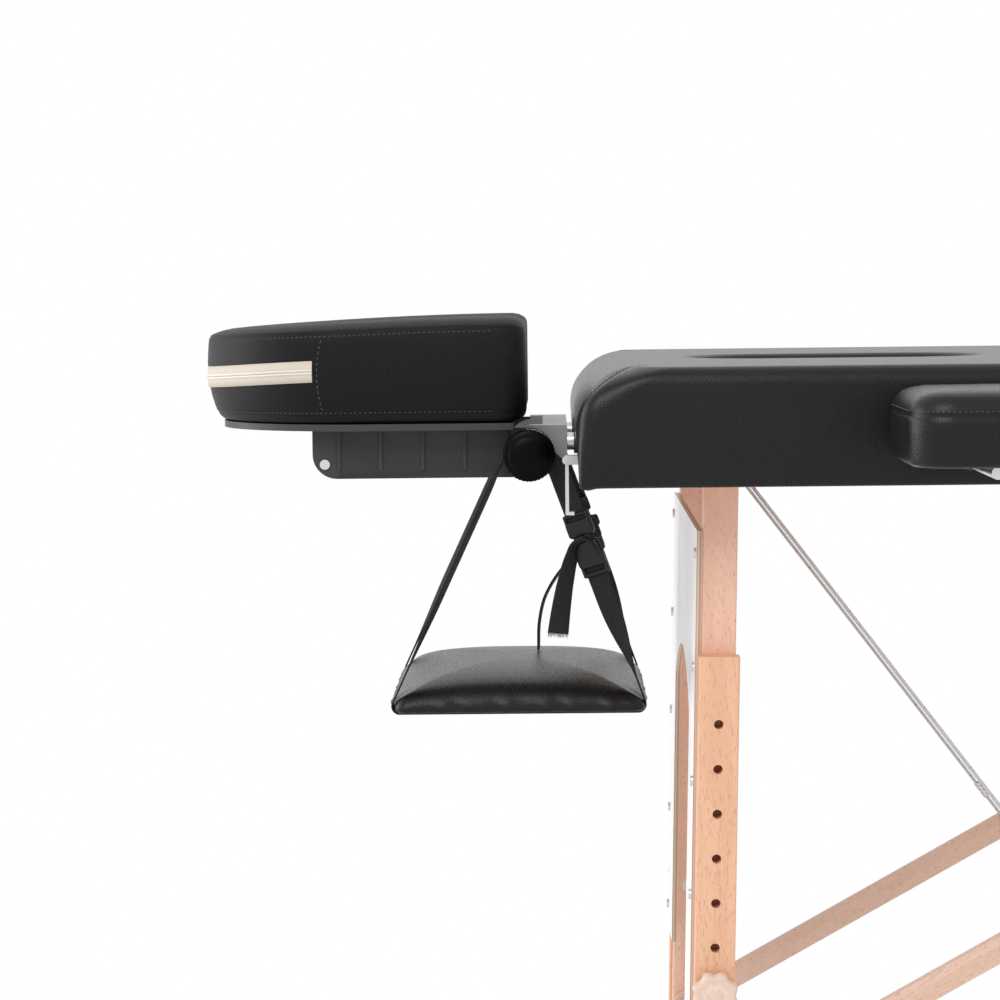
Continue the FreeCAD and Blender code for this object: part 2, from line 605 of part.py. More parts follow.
def slats():
    """Lower and upper brace slats with the elbow bolts; gives the place of the cable's stud on the lower slat."""
    foot, elbow, anchor, lower, upper, slope_low, slope_up = linkage()
    half, tail = s.slat_wide / 2, s.slat_tail
    bore = s.pivot_bolt_dia / 2 + s.run_gap
    low = Outline("lower_slat", "XZ_Plane")
    stadium(low, -tail, dim(lower) + s.short_tail, half).circle((0, 0), bore)
    low = low.pad(s.slat_thick, -SLAT_OUT)
    leaned = Placement(foot, Rotation(Vector(0, 1, 0), -slope_low))
    low.Placement = leaned
    both_ends(pair("lower_slat_pair", low), "lower_slats")
    high = Outline("upper_slat", "XZ_Plane")
    stadium(high, -s.short_tail, dim(upper) + s.short_tail, half).circle((0, 0), bore)
    high.circle((dim(upper), 0), s.pivot_bolt_dia / 2)
    high = high.pad(s.slat_thick, -UPPER_OUT)
    turned = Placement(anchor, Rotation(Vector(0, 1, 0), 180 - slope_up))
    high.Placement = turned
    both_ends(pair("upper_slat_pair", high), "upper_slats")
    at = (dim(upper), 0)
    bolt = fuse("elbow_bolt", rod("elbow_shank", "y", s.pivot_bolt_dia, UPPER_IN, UPPER_OUT, at),
                rod("elbow_head", "y", s.bolt_head_dia, UPPER_IN - s.bolt_head, UPPER_IN, at),
                rod("elbow_spacer", "y", 1.5 * s.pivot_bolt_dia, UPPER_OUT, SLAT_MID - s.fit_gap, at))
    bolt.Placement = turned
    both_ends(pair("elbow_bolt_pair", bolt), "elbow_bolts")
    return leaned.multVec(Vector(lower - s.cable_end_back.value, 0, 0))


def cables(end):
    """Taut steel cables from the lugs by the leg hinges to studs by the elbows, each with a crimped ferrule."""
    start = Vector(X_HEAD.value + s.cable_eye_at.value, 0, s.table_height.value - s.cable_eye_drop.value)
    run = end - start
    way = Vector(run).normalize()
    lane = Vector(0, UPPER_OUT.value + s.slat_gap.value / 2, 0)
    bare = s.cable_pin_dia.value / 2
    wire = Part.makeCylinder(s.cable_dia.value / 2, run.Length - bare, start + lane + way * bare, way)
    stud = Part.makeCylinder(bare, s.slat_gap.value, end + Vector(0, UPPER_OUT.value, 0), Vector(0, 1, 0))
    back = run.Length - s.ferrule_back.value - s.ferrule_length.value
    sleeve = Part.makeCylinder(s.ferrule_dia.value / 2, s.ferrule_length.value, start + lane + way * back, way)
    both_ends(pair("cable_pair", free("cable_run", wire.fuse([sleeve, stud]))), "cables")


def fittings():
    """Steel fittings under the deck, with the latch plates on the head end and the catches on the foot end."""
    lug0 = s.post_outer + s.fit_gap
    lug1 = lug0 + s.lug_thick
    half = s.lug_wide / 2
    flange = Z_RAIL - s.lug_thick
    leg = fuse("leg_bracket", box("leg_lug", X_LEG - half, X_LEG + half, lug0, lug1, Z_LEG - half, Z_RAIL),
               box("leg_flange", X_LEG - s.lug_wide, X_LEG + s.lug_wide, lug0, lug1 + s.lug_wide, flange, Z_RAIL))
    leg = cut("leg_bracket_bored", leg,
              rod("leg_lug_bore", "y", s.pivot_bolt_dia + 2 * s.run_gap, lug0, lug1, (X_LEG, Z_LEG)))
    in1 = UPPER_IN - s.fit_gap
    in0 = in1 - s.lug_thick
    nut = UPPER_OUT + s.fit_gap
    at = (X_ANCHOR, Z_ANCHOR)
    anchor = fuse("anchor_bracket",
                  box("anchor_lug", X_ANCHOR - half, X_ANCHOR + half, in0, in1, Z_ANCHOR - half, Z_RAIL),
                  box("anchor_flange", X_ANCHOR - half, X_ANCHOR + half, in0 - s.lug_wide, in1, flange, Z_RAIL),
                  rod("anchor_pin", "y", s.pivot_bolt_dia, in0, nut, at),
                  rod("anchor_head", "y", s.bolt_head_dia, in0 - s.bolt_head, in0, at),
                  rod("anchor_nut", "y", s.bolt_head_dia, nut, nut + s.bolt_head, at))
    eye_x, eye_z = X_HEAD + s.cable_eye_at, s.table_height - s.cable_eye_drop
    eye0 = SLAT_MID + s.fit_gap
    eye = fuse("cable_bracket",
               box("cable_lug", eye_x - half / 2, eye_x + half / 2, eye0, eye0 + s.lug_thick, eye_z - half / 2, Z_RAIL),
               box("cable_flange", eye_x - half, eye_x + half, eye0 - s.lug_wide, eye0 + s.lug_thick, flange, Z_RAIL),
               rod("cable_eye", "y", s.cable_pin_dia, UPPER_OUT, eye0, (eye_x, eye_z)))
    common = fuse("bracket_set", leg, anchor, eye)
    latch = fuse("latch_base", latch_plate(), *latch_knuckle())
    node(pair("head_fitting_pair", fuse("head_fitting_set", common, latch)), "head_fittings")
    catch = latch_plate("catch_plate")
    node(mirror("foot_fittings_mirror", pair("foot_fitting_pair", fuse("foot_fitting_set", common, catch)), "x"),
         "foot_fittings")


X_HOOK = X_HEAD - s.hook_out
Z_HOOK = s.table_height - s.hook_drop


# The slanted end of the cover: how far it draws in over how much height
SLANT_RUN = s.end_inset - s.skirt_foot
SLANT_DROP = s.rail_height + s.deck_thick + s.skirt_drop - s.skirt_shoulder


def on_slant(z):
    """Where the cover's slanted end face is at a height."""
    return X_HEAD + (Z_DECK - s.skirt_shoulder - z) * SLANT_RUN / SLANT_DROP


def latch_plate(name="latch_plate"):
    """A plate that lies on the slanted end of the cover."""
    plate = doc.addObject("Part::Box", name)
    for prop, size in (("Length", s.latch_thick), ("Width", s.latch_wide), ("Height", s.latch_high)):
        bind(plate, prop, size)
    slant = math.atan2(SLANT_RUN.value, SLANT_DROP.value)
    low = s.table_height - s.latch_drop - s.latch_high
    out, down = s.latch_thick * math.cos(slant), s.latch_thick * math.sin(slant)
    turn = Rotation(Vector(0, 1, 0), -math.degrees(slant))
    return put(plate, on_slant(low) - out, s.latch_y - s.latch_wide / 2, low - down, turn)


def latch_knuckle():
    """Two ears and a pin that the hook swings on."""
    reach = on_slant(Z_HOOK) - s.latch_thick / 2
    gap = s.hook_wide / 2 + s.fit_gap
    dia = 2 * s.hook_pin_dia
    pieces = [rod("hook_pin", "y", s.hook_pin_dia, s.latch_y - gap - s.latch_thick, s.latch_y + gap + s.latch_thick,
                  (X_HOOK, Z_HOOK))]
    for side in (-1, 1):
        y = s.latch_y + side * (gap + s.latch_thick / 2)
        y0, y1 = y - s.latch_thick / 2, y + s.latch_thick / 2
        pieces.append(rod(f"hook_ear{side}", "y", dia, y0, y1, (X_HOOK, Z_HOOK)))
        pieces.append(box(f"hook_arm{side}", X_HOOK, reach, y0, y1, Z_HOOK - dia / 2, Z_HOOK + dia / 2))
    return pieces


def hooks():
    """The draw hooks that hang at the head end."""
    y0, y1 = s.latch_y - s.hook_wide / 2, s.latch_y + s.hook_wide / 2
    eye = rod("hook_eye", "y", 2 * s.hook_pin_dia, y0, y1, (X_HOOK, Z_HOOK))
    half = s.hook_thick / 2
    low = Z_HOOK - s.hook_long
    blade = box("hook_blade", X_HOOK - half, X_HOOK + half, y0, y1, low, Z_HOOK)
    tip = box("hook_tip", X_HOOK - half, X_HOOK + 2 * s.hook_thick, y0, y1, low, low + s.hook_thick)
    hole = rod("hook_hole", "y", s.hook_pin_dia + 2 * s.run_gap, y0, y1, (X_HOOK, Z_HOOK))
    hook = cut("hook", fuse("hook_solid", eye, blade, tip), hole)
    node(hook, "far_latch_hook")
    node(mirror("near_latch_hook_mirror", hook, "y"), "near_latch_hook")


def headrest_base():
    """The rods that plug into the end rail, the crosspiece with its ears, the pivot bolt, spools and clamp knob."""
    x1 = X_HEAD - s.base_near
    x0 = x1 - s.base_deep
    z0, z1 = Z_ROD - s.base_high / 2, Z_ROD + s.base_high / 2
    bar = box("base_bar", x0, x1, -s.base_half, s.base_half, z0, z1)
    ear0 = s.base_half - s.ear_thick
    ear = fuse("base_ear", rod("ear_round", "y", 2 * s.ear_radius, ear0, s.base_half, (X_TILT, Z_TILT)),
               box("ear_neck", X_TILT, x1, ear0, s.base_half, Z_TILT - s.ear_radius, z1))
    x_rod = x0 + s.rod_dia / 4
    plug = rod("headrest_rod", "x", s.rod_dia, x_rod, X_HEAD + s.rod_inside, (s.rod_y, Z_ROD))
    bolt_bore = rod("base_bolt_bore", "y", s.tilt_bolt_dia, -s.base_half, s.base_half, (X_TILT, Z_TILT))
    solid = fuse("base_solid", bar, pair("base_ears", ear))
    rods = pair("headrest_rod_pair", plug)
    node(cut("base_bored", solid, bolt_bore, rods), "headrest_base")
    node(rods, "headrest_rods")
    at = (X_TILT, Z_TILT)
    spool0 = SPOOL_OUT - s.spool_long
    spool = cut("spool", rod("spool_body", "y", 2 * s.spool_radius, spool0, SPOOL_OUT, at),
                rod("spool_bore", "y", s.tilt_bolt_dia + 2 * s.run_gap, spool0, SPOOL_OUT, at))
    cap = SPOOL_OUT + s.fit_gap
    grip = 0.75 * s.clamp_knob_thick
    bolt = fuse("tilt_bolt", rod("tilt_shank", "y", s.tilt_bolt_dia, -(SPOOL_OUT + grip), cap, at),
                rod("tilt_cap", "y", s.cap_dia, cap, cap + s.cap_thick, at))
    node(fuse("pivot_set", bolt, pair("spool_pair", spool)), "headrest_pivot")
    near = -(SPOOL_OUT + s.fit_gap)
    rim = near - 0.8 * s.clamp_knob_thick
    face = near - s.clamp_knob_thick
    knob = fuse("clamp_knob_solid", rod("knob_grip", "y", s.clamp_knob_dia, rim, near, at),
                rod("knob_face", "y", 0.8 * s.clamp_knob_dia, face, rim, at))
    bore = rod("clamp_bore", "y", s.tilt_bolt_dia + 2 * s.run_gap, -(SPOOL_OUT + grip + s.fit_gap), near, at)
    node(cut("clamp_knob_bored", knob, bore), "clamp_knob")


def tilt_bracket():
    """Two ribbed side arms joined by a front web, riveted, with hubs round the pivot bolt."""
    top = Z_PLATE - s.plate_thick
    hub = top - Z_TILT
    front = X_TILT - s.arm_reach
    low = Z_TILT - hub
    arm = Outline("arm_body", "XZ_Plane")
    arm.loop((X_TILT, low), ((X_TILT + hub, Z_TILT), hub, 1), ((X_TILT, top), hub, 1), ((front, top),),
             ((front, Z_TILT),), ((front + hub, low), hub, 1), ((X_TILT, low),))
    arm.circle((X_TILT, Z_TILT), s.tilt_bolt_dia / 2 + s.run_gap)
    arm = arm.pad(s.arm_thick, -ARM_OUT)
    pitch = (s.arm_reach - 2 * hub) / (s.rib_count - 1)
    ribs = []
    for n in range(int(s.rib_count.value)):
        x = front + hub + n * pitch
        ribs.append(box(f"arm_rib{n}", x, x + s.rib_thick, ARM_OUT, ARM_OUT + s.rib_out, low + hub / 3, top))
    web = box("arm_web", front, front + s.arm_thick, -ARM_IN, ARM_IN, Z_TILT, top)
    arms = pair("arm_pair", fuse("ribbed_arm", arm, *ribs))
    node(fuse("bracket_solid", arms, web), "tilt_bracket")
    at = (front + s.rivet_back, low + s.rivet_up)
    rivet = rod("rivet", "y", s.rivet_dia, ARM_OUT, ARM_OUT + s.rib_out, at)
    node(pair("rivet_pair", rivet), "bracket_rivets")


def platform():
    """The horseshoe plate that the face cushion lies on."""
    out, mouth = s.plate_half, s.mouth_half
    front = X_HEAD - s.headrest_reach + s.plate_front
    x_out = front + out
    x_in = X_HEAD - s.headrest_reach + s.cushion_half + s.mouth_back
    rear = X_HEAD - s.plate_rear
    plate = Outline("platform_body", "XY_Plane")
    plate.loop((rear, -out), ((x_out, -out),), ((front, 0), out, -1), ((x_out, out), out, -1), ((rear, out),),
               ((rear, mouth),), ((x_in, mouth),), ((x_in - mouth, 0), mouth, 1), ((x_in, -mouth), mouth, 1),
               ((rear, -mouth),), ((rear, -out),))
    node(plate.pad(s.plate_thick, Z_PLATE - s.plate_thick), "platform")


def arc_edge(centre, radius, start, end):
    """Part of a circle between two angles in degrees."""
    a, m, b = (centre + Vector(math.cos(math.radians(g)), math.sin(math.radians(g)), 0) * radius
               for g in (start, (start + end) / 2, end))
    return Part.Arc(a, m, b).toShape()


def horseshoe(inset, height):
    """The face cushion's outline drawn in by an inset, at a height, its plane falling to the front."""
    x_out = X_HEAD.value - s.headrest_reach.value + s.cushion_half.value
    x_in = x_out + s.mouth_back.value
    rear = X_HEAD.value - s.cushion_rear.value - inset
    out, mouth = s.cushion_half.value - inset, s.mouth_half.value + inset
    corner = s.cushion_corner.value - inset / 2
    edges = [arc_edge(Vector(x_out, 0, 0), out, 180, 270), None,
             arc_edge(Vector(rear - corner, -out + corner, 0), corner, 270, 360), None,
             arc_edge(Vector(rear - corner, -mouth - corner, 0), corner, 0, 90), None,
             arc_edge(Vector(x_in, 0, 0), mouth, 270, 180), arc_edge(Vector(x_in, 0, 0), mouth, 180, 90), None,
             arc_edge(Vector(rear - corner, mouth + corner, 0), corner, 270, 360), None,
             arc_edge(Vector(rear - corner, out - corner, 0), corner, 0, 90), None,
             arc_edge(Vector(x_out, 0, 0), out, 90, 180)]
    for n, edge in enumerate(edges):
        if edge is None:
            a, b = edges[n - 1].lastVertex(True).Point, edges[n + 1].firstVertex(True).Point
            edges[n] = Part.LineSegment(a, b).toShape()
    wire = Part.Wire(edges)
    share = height / s.cushion_high.value
    fall = math.degrees(math.atan2(s.cushion_front_low.value, s.headrest_reach.value - s.cushion_rear.value))
    wire.translate(Vector(0, 0, Z_PLATE.value + s.fit_gap.value + height))
    wire.rotate(Vector(rear + inset, 0, Z_PLATE.value + height), Vector(0, 1, 0), -fall * share)
    return wire


def face_cushion():
    """The horseshoe cushion: drawn-in foot, full sides and a crown."""
    high = s.cushion_high.value
    rings = [(6, 0), (1, 0.1), (0, 0.42), (2, 0.72), (8, 0.88), (17, 0.97), (27, 1)]
    loft = Part.makeLoft([horseshoe(inset, share * high) for inset, share in rings], True, True)
    node(free("face_foam", loft), "face_cushion")


def rounded(x0, x1, y0, y1, inset, corner, height):
    """A rectangle with round corners, drawn in by an inset, at a height."""
    x0, x1, y0, y1 = x0 + inset, x1 - inset, y0 + inset, y1 - inset
    centres = [(x1 - corner, y0 + corner, 270), (x1 - corner, y1 - corner, 0),
               (x0 + corner, y1 - corner, 90), (x0 + corner, y0 + corner, 180)]
    arcs = [arc_edge(Vector(x, y, height), corner, angle, angle + 90) for x, y, angle in centres]
    edges = []
    for arc, following in zip(arcs, arcs[1:] + arcs[:1]):
        a, b = arc.lastVertex(True).Point, following.firstVertex(True).Point
        edges += [arc, Part.LineSegment(a, b).toShape()]
    return Part.Wire(edges)


def pillow(x0, x1, y0, y1, z0, z1, corner, rings):
    """A pad through rounded rings: each ring is its inset and its share of the height."""
    wires = [rounded(x0, x1, y0, y1, inset, corner, z0 + share * (z1 - z0)) for inset, share in rings]
    return Part.makeLoft(wires, True, True)


def sling_belt(extra):
    """The closed path of one webbing loop as a face: round the spool and under the pad, grown by extra."""
    corner = s.sling_thick.value / 4
    low = s.table_height.value - s.sling_drop.value + corner
    gap = s.fit_gap.value
    rounds = [(Vector(X_TILT.value, 0, Z_TILT.value), s.spool_radius.value + gap + extra),
              (Vector(X_HEAD.value - s.sling_front.value + corner, 0, low), corner + gap + extra),
              (Vector(X_HEAD.value + s.sling_rear.value - corner, 0, low), corner + gap + extra)]
    joints = []
    for (a, ra), (b, rb) in zip(rounds, rounds[1:] + rounds[:1]):
        way = b - a
        lean = math.acos((ra - rb) / way.Length)
        base = math.atan2(way.z, way.x) - lean
        side = Vector(math.cos(base), 0, math.sin(base))
        joints.append((a + side * ra, b + side * rb))
    edges = []
    for n, (start, end) in enumerate(joints):
        centre, radius = rounds[(n + 1) % 3]
        following = joints[(n + 1) % 3][0]
        middle = ((end - centre) + (following - centre)).normalize() * radius + centre
        edges += [Part.LineSegment(start, end).toShape(), Part.Arc(end, middle, following).toShape()]
    return Part.Face(Part.Wire(edges)), joints


def buckle_shape(length, width, thick):
    """A side-release buckle: round corners, a release window in each side, strap slots and the parting line."""
    body = Part.makeBox(length, width, thick, Vector(-length / 2, -width / 2, -thick / 2))
    body = body.makeFillet(width / 5, [e for e in body.Edges if e.BoundBox.ZLength > thick - 1e-6])
    body = body.makeFillet(thick / 6, [e for e in body.Edges if e.BoundBox.ZLength < 1e-6])
    slot, deep = thick / 4, thick / 5
    tools = [Part.makeCylinder(width / 3, thick, Vector(0, way * width * 0.7, -thick / 2)) for way in (-1, 1)]
    for x in (-length * 0.38, -length * 0.16, length * 0.38):
        for z in (-thick / 2, thick / 2 - deep):
            tools.append(Part.makeBox(slot, width * 0.78, deep, Vector(x - slot / 2, -width * 0.39, z)))
    return body.cut(tools)


def sling():
    """The padded arm shelf, its two webbing loops, loose tails and side-release buckles."""
    x0, x1 = X_HEAD.value - s.sling_front.value, X_HEAD.value + s.sling_rear.value
    half, thick = s.sling_half.value, s.sling_thick.value
    low = s.table_height.value - s.sling_drop.value
    rings = [(8, 0), (2, 0.12), (1, 0.3), (5, 0.52), (20, 0.76), (42, 0.92), (60, 1)]
    node(free("sling_foam", pillow(x0, x1, -half, half, low, low + thick, 24, rings)), "sling_pad")
    web, wide, y = s.web_thick.value, s.web_wide.value, s.web_y.value
    outer, joints = sling_belt(web)
    inner, _ = sling_belt(0)
    band = outer.cut(inner).extrude(Vector(0, wide, 0))
    band.translate(Vector(0, y - wide / 2, 0))
    lower, upper = joints[2]
    down = (lower - upper).normalize()
    centre = upper + down * s.buckle_up.value
    out = Vector(-down.z, 0, down.x)
    turn = Placement(centre - out * web / 2, Rotation(Vector(0, 1, 0), math.degrees(math.atan2(-down.z, down.x))))
    thick_b = s.buckle_thick.value
    block = buckle_shape(s.buckle_long.value, s.buckle_wide.value, thick_b)
    block.translate(Vector(0, y, 0))
    block.Placement = turn.multiply(block.Placement)
    block = block.cut(band)
    tail = Part.makeBox(s.tail_long.value, wide, web)
    tail.Placement = Placement(centre - out * (thick_b / 2 + web), Rotation(Vector(0, 1, 0), 90)).multiply(
        Placement(Vector(0, y - wide / 2, 0), Rotation()))
    loops = free("sling_loop", Part.makeCompound([band, tail.cut(block)]))
    node(pair("sling_loop_pair", loops), "sling_straps")
    node(pair("buckle_pair", free("buckle", block)), "sling_buckles")


def armrests():
    """The side armrests: a padded top on a plate with two rods that plug into the side rail."""
    x0 = X_HEAD + s.arm_pad_at
    x1 = x0 + s.arm_pad_length
    y0 = HALF + s.arm_pad_gap
    z0 = Z_ARM_PLATE
    rings = [(6, 0), (1, 0.12), (0, 0.45), (2, 0.72), (7, 0.88), (13, 0.97), (20, 1)]
    foam = pillow(x0.value, x1.value, y0.value, y0.value + s.arm_pad_wide.value, z0.value,
                  z0.value + s.arm_pad_thick.value, s.arm_pad_radius.value * 1.6, rings)
    far = free("arm_foam", foam)
    node(far, "far_armrest_pad")
    node(mirror("near_armrest_pad_mirror", far, "y"), "near_armrest_pad")
    first, last = arm_rod_places()
    edge = y0 + s.arm_plate_edge
    end = y0 + s.arm_rod_out
    plate = box("arm_plate", first, last, edge, end, z0 - s.arm_plate_thick, z0)
    rods = [rod(f"arm_rod{n}", "y", s.arm_rod_dia, HALF - s.arm_rod_inside, end, (x, Z_ARM_ROD))
            for n, x in enumerate((first, last))]
    frame = fuse("arm_frame", plate, *rods)
    node(frame, "far_armrest_frame")
    node(mirror("near_armrest_frame_mirror", frame, "y"), "near_armrest_frame")


def build():
    """Make every sub-part."""
    rails()
    decks()
    upholstery()
    bushes()
    centre_hinge()
    posts()
    panel()
    leg_bolts()
    extensions()
    star_knob()
    cables(slats())
    fittings()
    hooks()
    headrest_base()
    tilt_bracket()
    platform()
    face_cushion()
    sling()
    armrests()


def write():
    """Check every object and write one file per sub-part."""
    doc.recompute()
    for obj in doc.Objects:
        if "Invalid" in obj.State or "Error" in obj.State:
            raise RuntimeError(f"{obj.Name}: {obj.State}")
    os.makedirs("parts", exist_ok=True)
    for obj in NODES:
        shape = obj.Shape
        if shape.isNull() or not shape.isValid():
            raise RuntimeError(f"{obj.Label}: shape is not valid")
        box_ = shape.BoundBox
        print(f"{obj.Label}: {len(shape.Solids)} solids, {shape.Volume / 1000:.1f} cm3, "
              f"x {box_.XMin:.1f}..{box_.XMax:.1f} y {box_.YMin:.1f}..{box_.YMax:.1f} z {box_.ZMin:.1f}..{box_.ZMax:.1f}")
        shape.exportStep(f"parts/{obj.Label}.step")
    print(len(NODES), "sub-parts")


build()
write()
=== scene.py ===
import math

import bpy
import numpy as np
from mathutils import Matrix, Vector

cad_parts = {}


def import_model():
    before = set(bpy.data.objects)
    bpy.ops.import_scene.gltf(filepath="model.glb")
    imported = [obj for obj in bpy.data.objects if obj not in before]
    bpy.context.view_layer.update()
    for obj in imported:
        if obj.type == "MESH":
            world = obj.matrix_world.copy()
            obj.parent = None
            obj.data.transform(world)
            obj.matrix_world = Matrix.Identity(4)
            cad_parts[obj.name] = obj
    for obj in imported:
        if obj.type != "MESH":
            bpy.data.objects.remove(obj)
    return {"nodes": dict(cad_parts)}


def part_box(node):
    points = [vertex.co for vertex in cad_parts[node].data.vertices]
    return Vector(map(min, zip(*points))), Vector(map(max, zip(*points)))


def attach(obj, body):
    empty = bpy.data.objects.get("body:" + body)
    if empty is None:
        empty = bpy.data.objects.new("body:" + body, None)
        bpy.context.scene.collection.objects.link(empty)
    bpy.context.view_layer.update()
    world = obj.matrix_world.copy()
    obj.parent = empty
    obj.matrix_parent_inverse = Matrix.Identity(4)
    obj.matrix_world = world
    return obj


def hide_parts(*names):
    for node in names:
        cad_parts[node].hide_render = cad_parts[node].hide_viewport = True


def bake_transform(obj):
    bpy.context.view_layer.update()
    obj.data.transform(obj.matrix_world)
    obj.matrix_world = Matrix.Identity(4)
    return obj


# A folding massage table seen from its head end: black grained leather on beech legs, with the headrest
# level, the arm sling hanging under it and the side armrests plugged in. Shapes are worked out in
# millimetres and put into the meshes in metres. X runs from the head end to the foot end, Z is up.

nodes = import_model()["nodes"]
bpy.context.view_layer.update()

# The head half's outer end, the hinge line, the tops of the CAD cushion and of the cover, half the width
X_HEAD = -756.5
X_MID = 168.5
TOP = 730.0
LEATHER_TOP = 723.0
HALF_WIDTH = 310.0
Y_AXIS = np.array([0.0, 1.0, 0.0])
rng = np.random.default_rng(7)


# Meshes


def new_piece(name, points, faces, body, material, slot):
    """Put points in millimetres and faces into a smooth mesh that rides on a body, if one is given."""
    mesh = bpy.data.meshes.new(name)
    mesh.from_pydata((np.asarray(points, float).reshape(-1, 3) / 1000).tolist(), [], faces)
    mesh.polygons.foreach_set("use_smooth", np.full(len(mesh.polygons), True))
    mesh.materials.append(material)
    mesh.update()
    obj = bpy.data.objects.new(name, mesh)
    bpy.context.scene.collection.objects.link(obj)
    if body:
        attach(obj, body)
    return obj


def grid_faces(rows, columns, wrap_rows=False):
    """Quads of a grid of points kept row by row; each row closes on itself, and the rows do if asked."""
    r, c = np.meshgrid(np.arange(rows if wrap_rows else rows - 1), np.arange(columns), indexing="ij")
    r2, c2 = (r + 1) % rows, (c + 1) % columns
    quads = np.stack([r * columns + c, r * columns + c2, r2 * columns + c2, r2 * columns + c], axis=-1)
    return quads.reshape(-1, 4).tolist()


def closed_grid(points):
    """Points and faces of rings stacked along the first axis, with a face over the first and the last."""
    rows, columns = points.shape[:2]
    faces = grid_faces(rows, columns)
    faces.append(list(range(columns))[::-1])
    faces.append(list(range((rows - 1) * columns, rows * columns)))
    return points.reshape(-1, 3), faces


def gather(parts):
    """Several (points, faces) lists as one."""
    points, faces, count = [], [], 0
    for p, f in parts:
        p = np.asarray(p, float).reshape(-1, 3)
        points.append(p)
        faces += [[i + count for i in face] for face in f]
        count += len(p)
    return np.concatenate(points), faces


def smooth(t, a, b):
    """0 below a, 1 above b and an even ease between."""
    t = np.clip((t - a) / (b - a), 0, 1)
    return t * t * (3 - 2 * t)


def normalised(v):
    """Rows scaled to unit length."""
    return v / np.maximum(np.linalg.norm(v, axis=-1, keepdims=True), 1e-9)


def side_vectors(path, up, closed=False):
    """Side and normal at each point of a path: side is tangent x up, normal is side x tangent."""
    if closed:
        tangent = np.roll(path, -1, 0) - np.roll(path, 1, 0)
    else:
        tangent = np.gradient(path, axis=0)
    tangent = normalised(tangent)
    side = normalised(np.cross(tangent, up))
    return side, np.cross(side, tangent)


def carried(path, profile, side, normal):
    """The (a, b) points of a profile at each point of a path, as path + a * side + b * normal."""
    return path[:, None] + profile[None, :, :1] * side[:, None] + profile[None, :, 1:] * normal[:, None]


def swept(path, profile, up=Y_AXIS):
    """A closed profile carried along a path."""
    return closed_grid(carried(path, profile, *side_vectors(path, up)))


def ring_profile(radius, count):
    """A circle as (a, b) pairs."""
    angle = np.linspace(0, 2 * np.pi, count, endpoint=False)
    return np.stack([radius * np.cos(angle), radius * np.sin(angle)], -1)


def turned(profile, count, centre, ripple=0.0, lobes=0):
    """A profile of (radius, height) turned about Y, its radius less by the ripple between lobes."""
    angle = np.linspace(0, 2 * np.pi, count, endpoint=False)
    radius, height = np.asarray(profile, float).T
    r = radius[:, None] * (1 - ripple * (0.5 + 0.5 * np.cos(lobes * angle)))
    h = np.repeat(height[:, None], count, 1)
    points = np.stack([r * np.cos(angle), h, r * np.sin(angle)], -1)
    return closed_grid(points + np.asarray(centre, float))


def distances(path):
    """How far along a polyline each of its points lies."""
    return np.concatenate([[0], np.cumsum(np.linalg.norm(np.diff(path, axis=0), axis=1))])


def read_at(at, known, rows):
    """Rows that belong to known distances, read off at other distances."""
    return np.stack([np.interp(at, known, column) for column in rows.T], -1)


def resample(path, step):
    """Points spaced evenly along a polyline."""
    length = distances(path)
    count = max(2, int(round(length[-1] / step)) + 1)
    return read_at(np.linspace(0, length[-1], count), length, path)


def stitches(path, out, pitch=4.2, length=3.0, thick=0.55, lift=0.15):
    """A row of sewn stitches: short lozenge threads laid end to end on a path, standing a little proud.

    Each thread is six points: its two ends sunk in the surface and a raised square section in the middle.
    """
    at = distances(path)
    middle = np.arange(pitch / 2, at[-1] - pitch / 2, pitch)
    centre = read_at(middle, at, path)
    along = normalised(read_at(middle + 0.5, at, path) - centre)
    normal = normalised(read_at(middle, at, out))
    side = normalised(np.cross(along, normal))
    centre = centre + normal * lift
    half = length / 2
    six = np.stack([centre - along * half - normal * lift, centre + along * half - normal * lift,
                    centre + side * thick, centre + normal * thick, centre - side * thick,
                    centre - normal * thick], 1)
    base = np.arange(len(middle))[:, None] * 6
    tri = np.array([[0, 2, 3], [0, 3, 4], [0, 4, 5], [0, 5, 2],
                    [1, 3, 2], [1, 4, 3], [1, 5, 4], [1, 2, 5]])
    return six.reshape(-1, 3), (base[:, None] + tri[None]).reshape(-1, 3).tolist()


# Shader groups


def shader_group(name, inputs, outputs):
    """A node group with number inputs (name, default) and named number outputs."""
    tree = bpy.data.node_groups.new(name, "ShaderNodeTree")
    for label, default in inputs:
        socket = tree.interface.new_socket(name=label, in_out="INPUT", socket_type="NodeSocketFloat")
        socket.default_value = default
    for label in outputs:
        tree.interface.new_socket(name=label, in_out="OUTPUT", socket_type="NodeSocketFloat")
    return tree, tree.nodes.new("NodeGroupInput"), tree.nodes.new("NodeGroupOutput")


def feed(tree, source, socket):
    """Give a socket a number, or the output of another node."""
    if isinstance(source, (int, float)):
        socket.default_value = source
    else:
        tree.links.new(source, socket)


def math_node(tree, operation, *sources):
    """One Math node fed by sockets or numbers."""
    node = tree.nodes.new("ShaderNodeMath")
    node.operation = operation
    for source, socket in zip(sources, node.inputs):
        feed(tree, source, socket)
    return node.outputs[0]


def node_on(tree, kind, vector, **values):
    """A node fed by a vector, with values for its other inputs, whose names have _ for a space."""
    node = tree.nodes.new("ShaderNode" + kind)
    tree.links.new(vector, node.inputs["Vector"])
    for label, value in values.items():
        node.inputs[label.replace("_", " ")].default_value = value
    return node


def noise(tree, vector, scale, detail=2.0, rough=0.5, stretch=None):
    """Noise on a vector, which may first be stretched along its axes."""
    if stretch:
        vector = node_on(tree, "Mapping", vector, Scale=stretch).outputs[0]
    node = node_on(tree, "TexNoise", vector, Detail=detail, Roughness=rough)
    feed(tree, scale, node.inputs["Scale"])
    return node.outputs["Fac"]


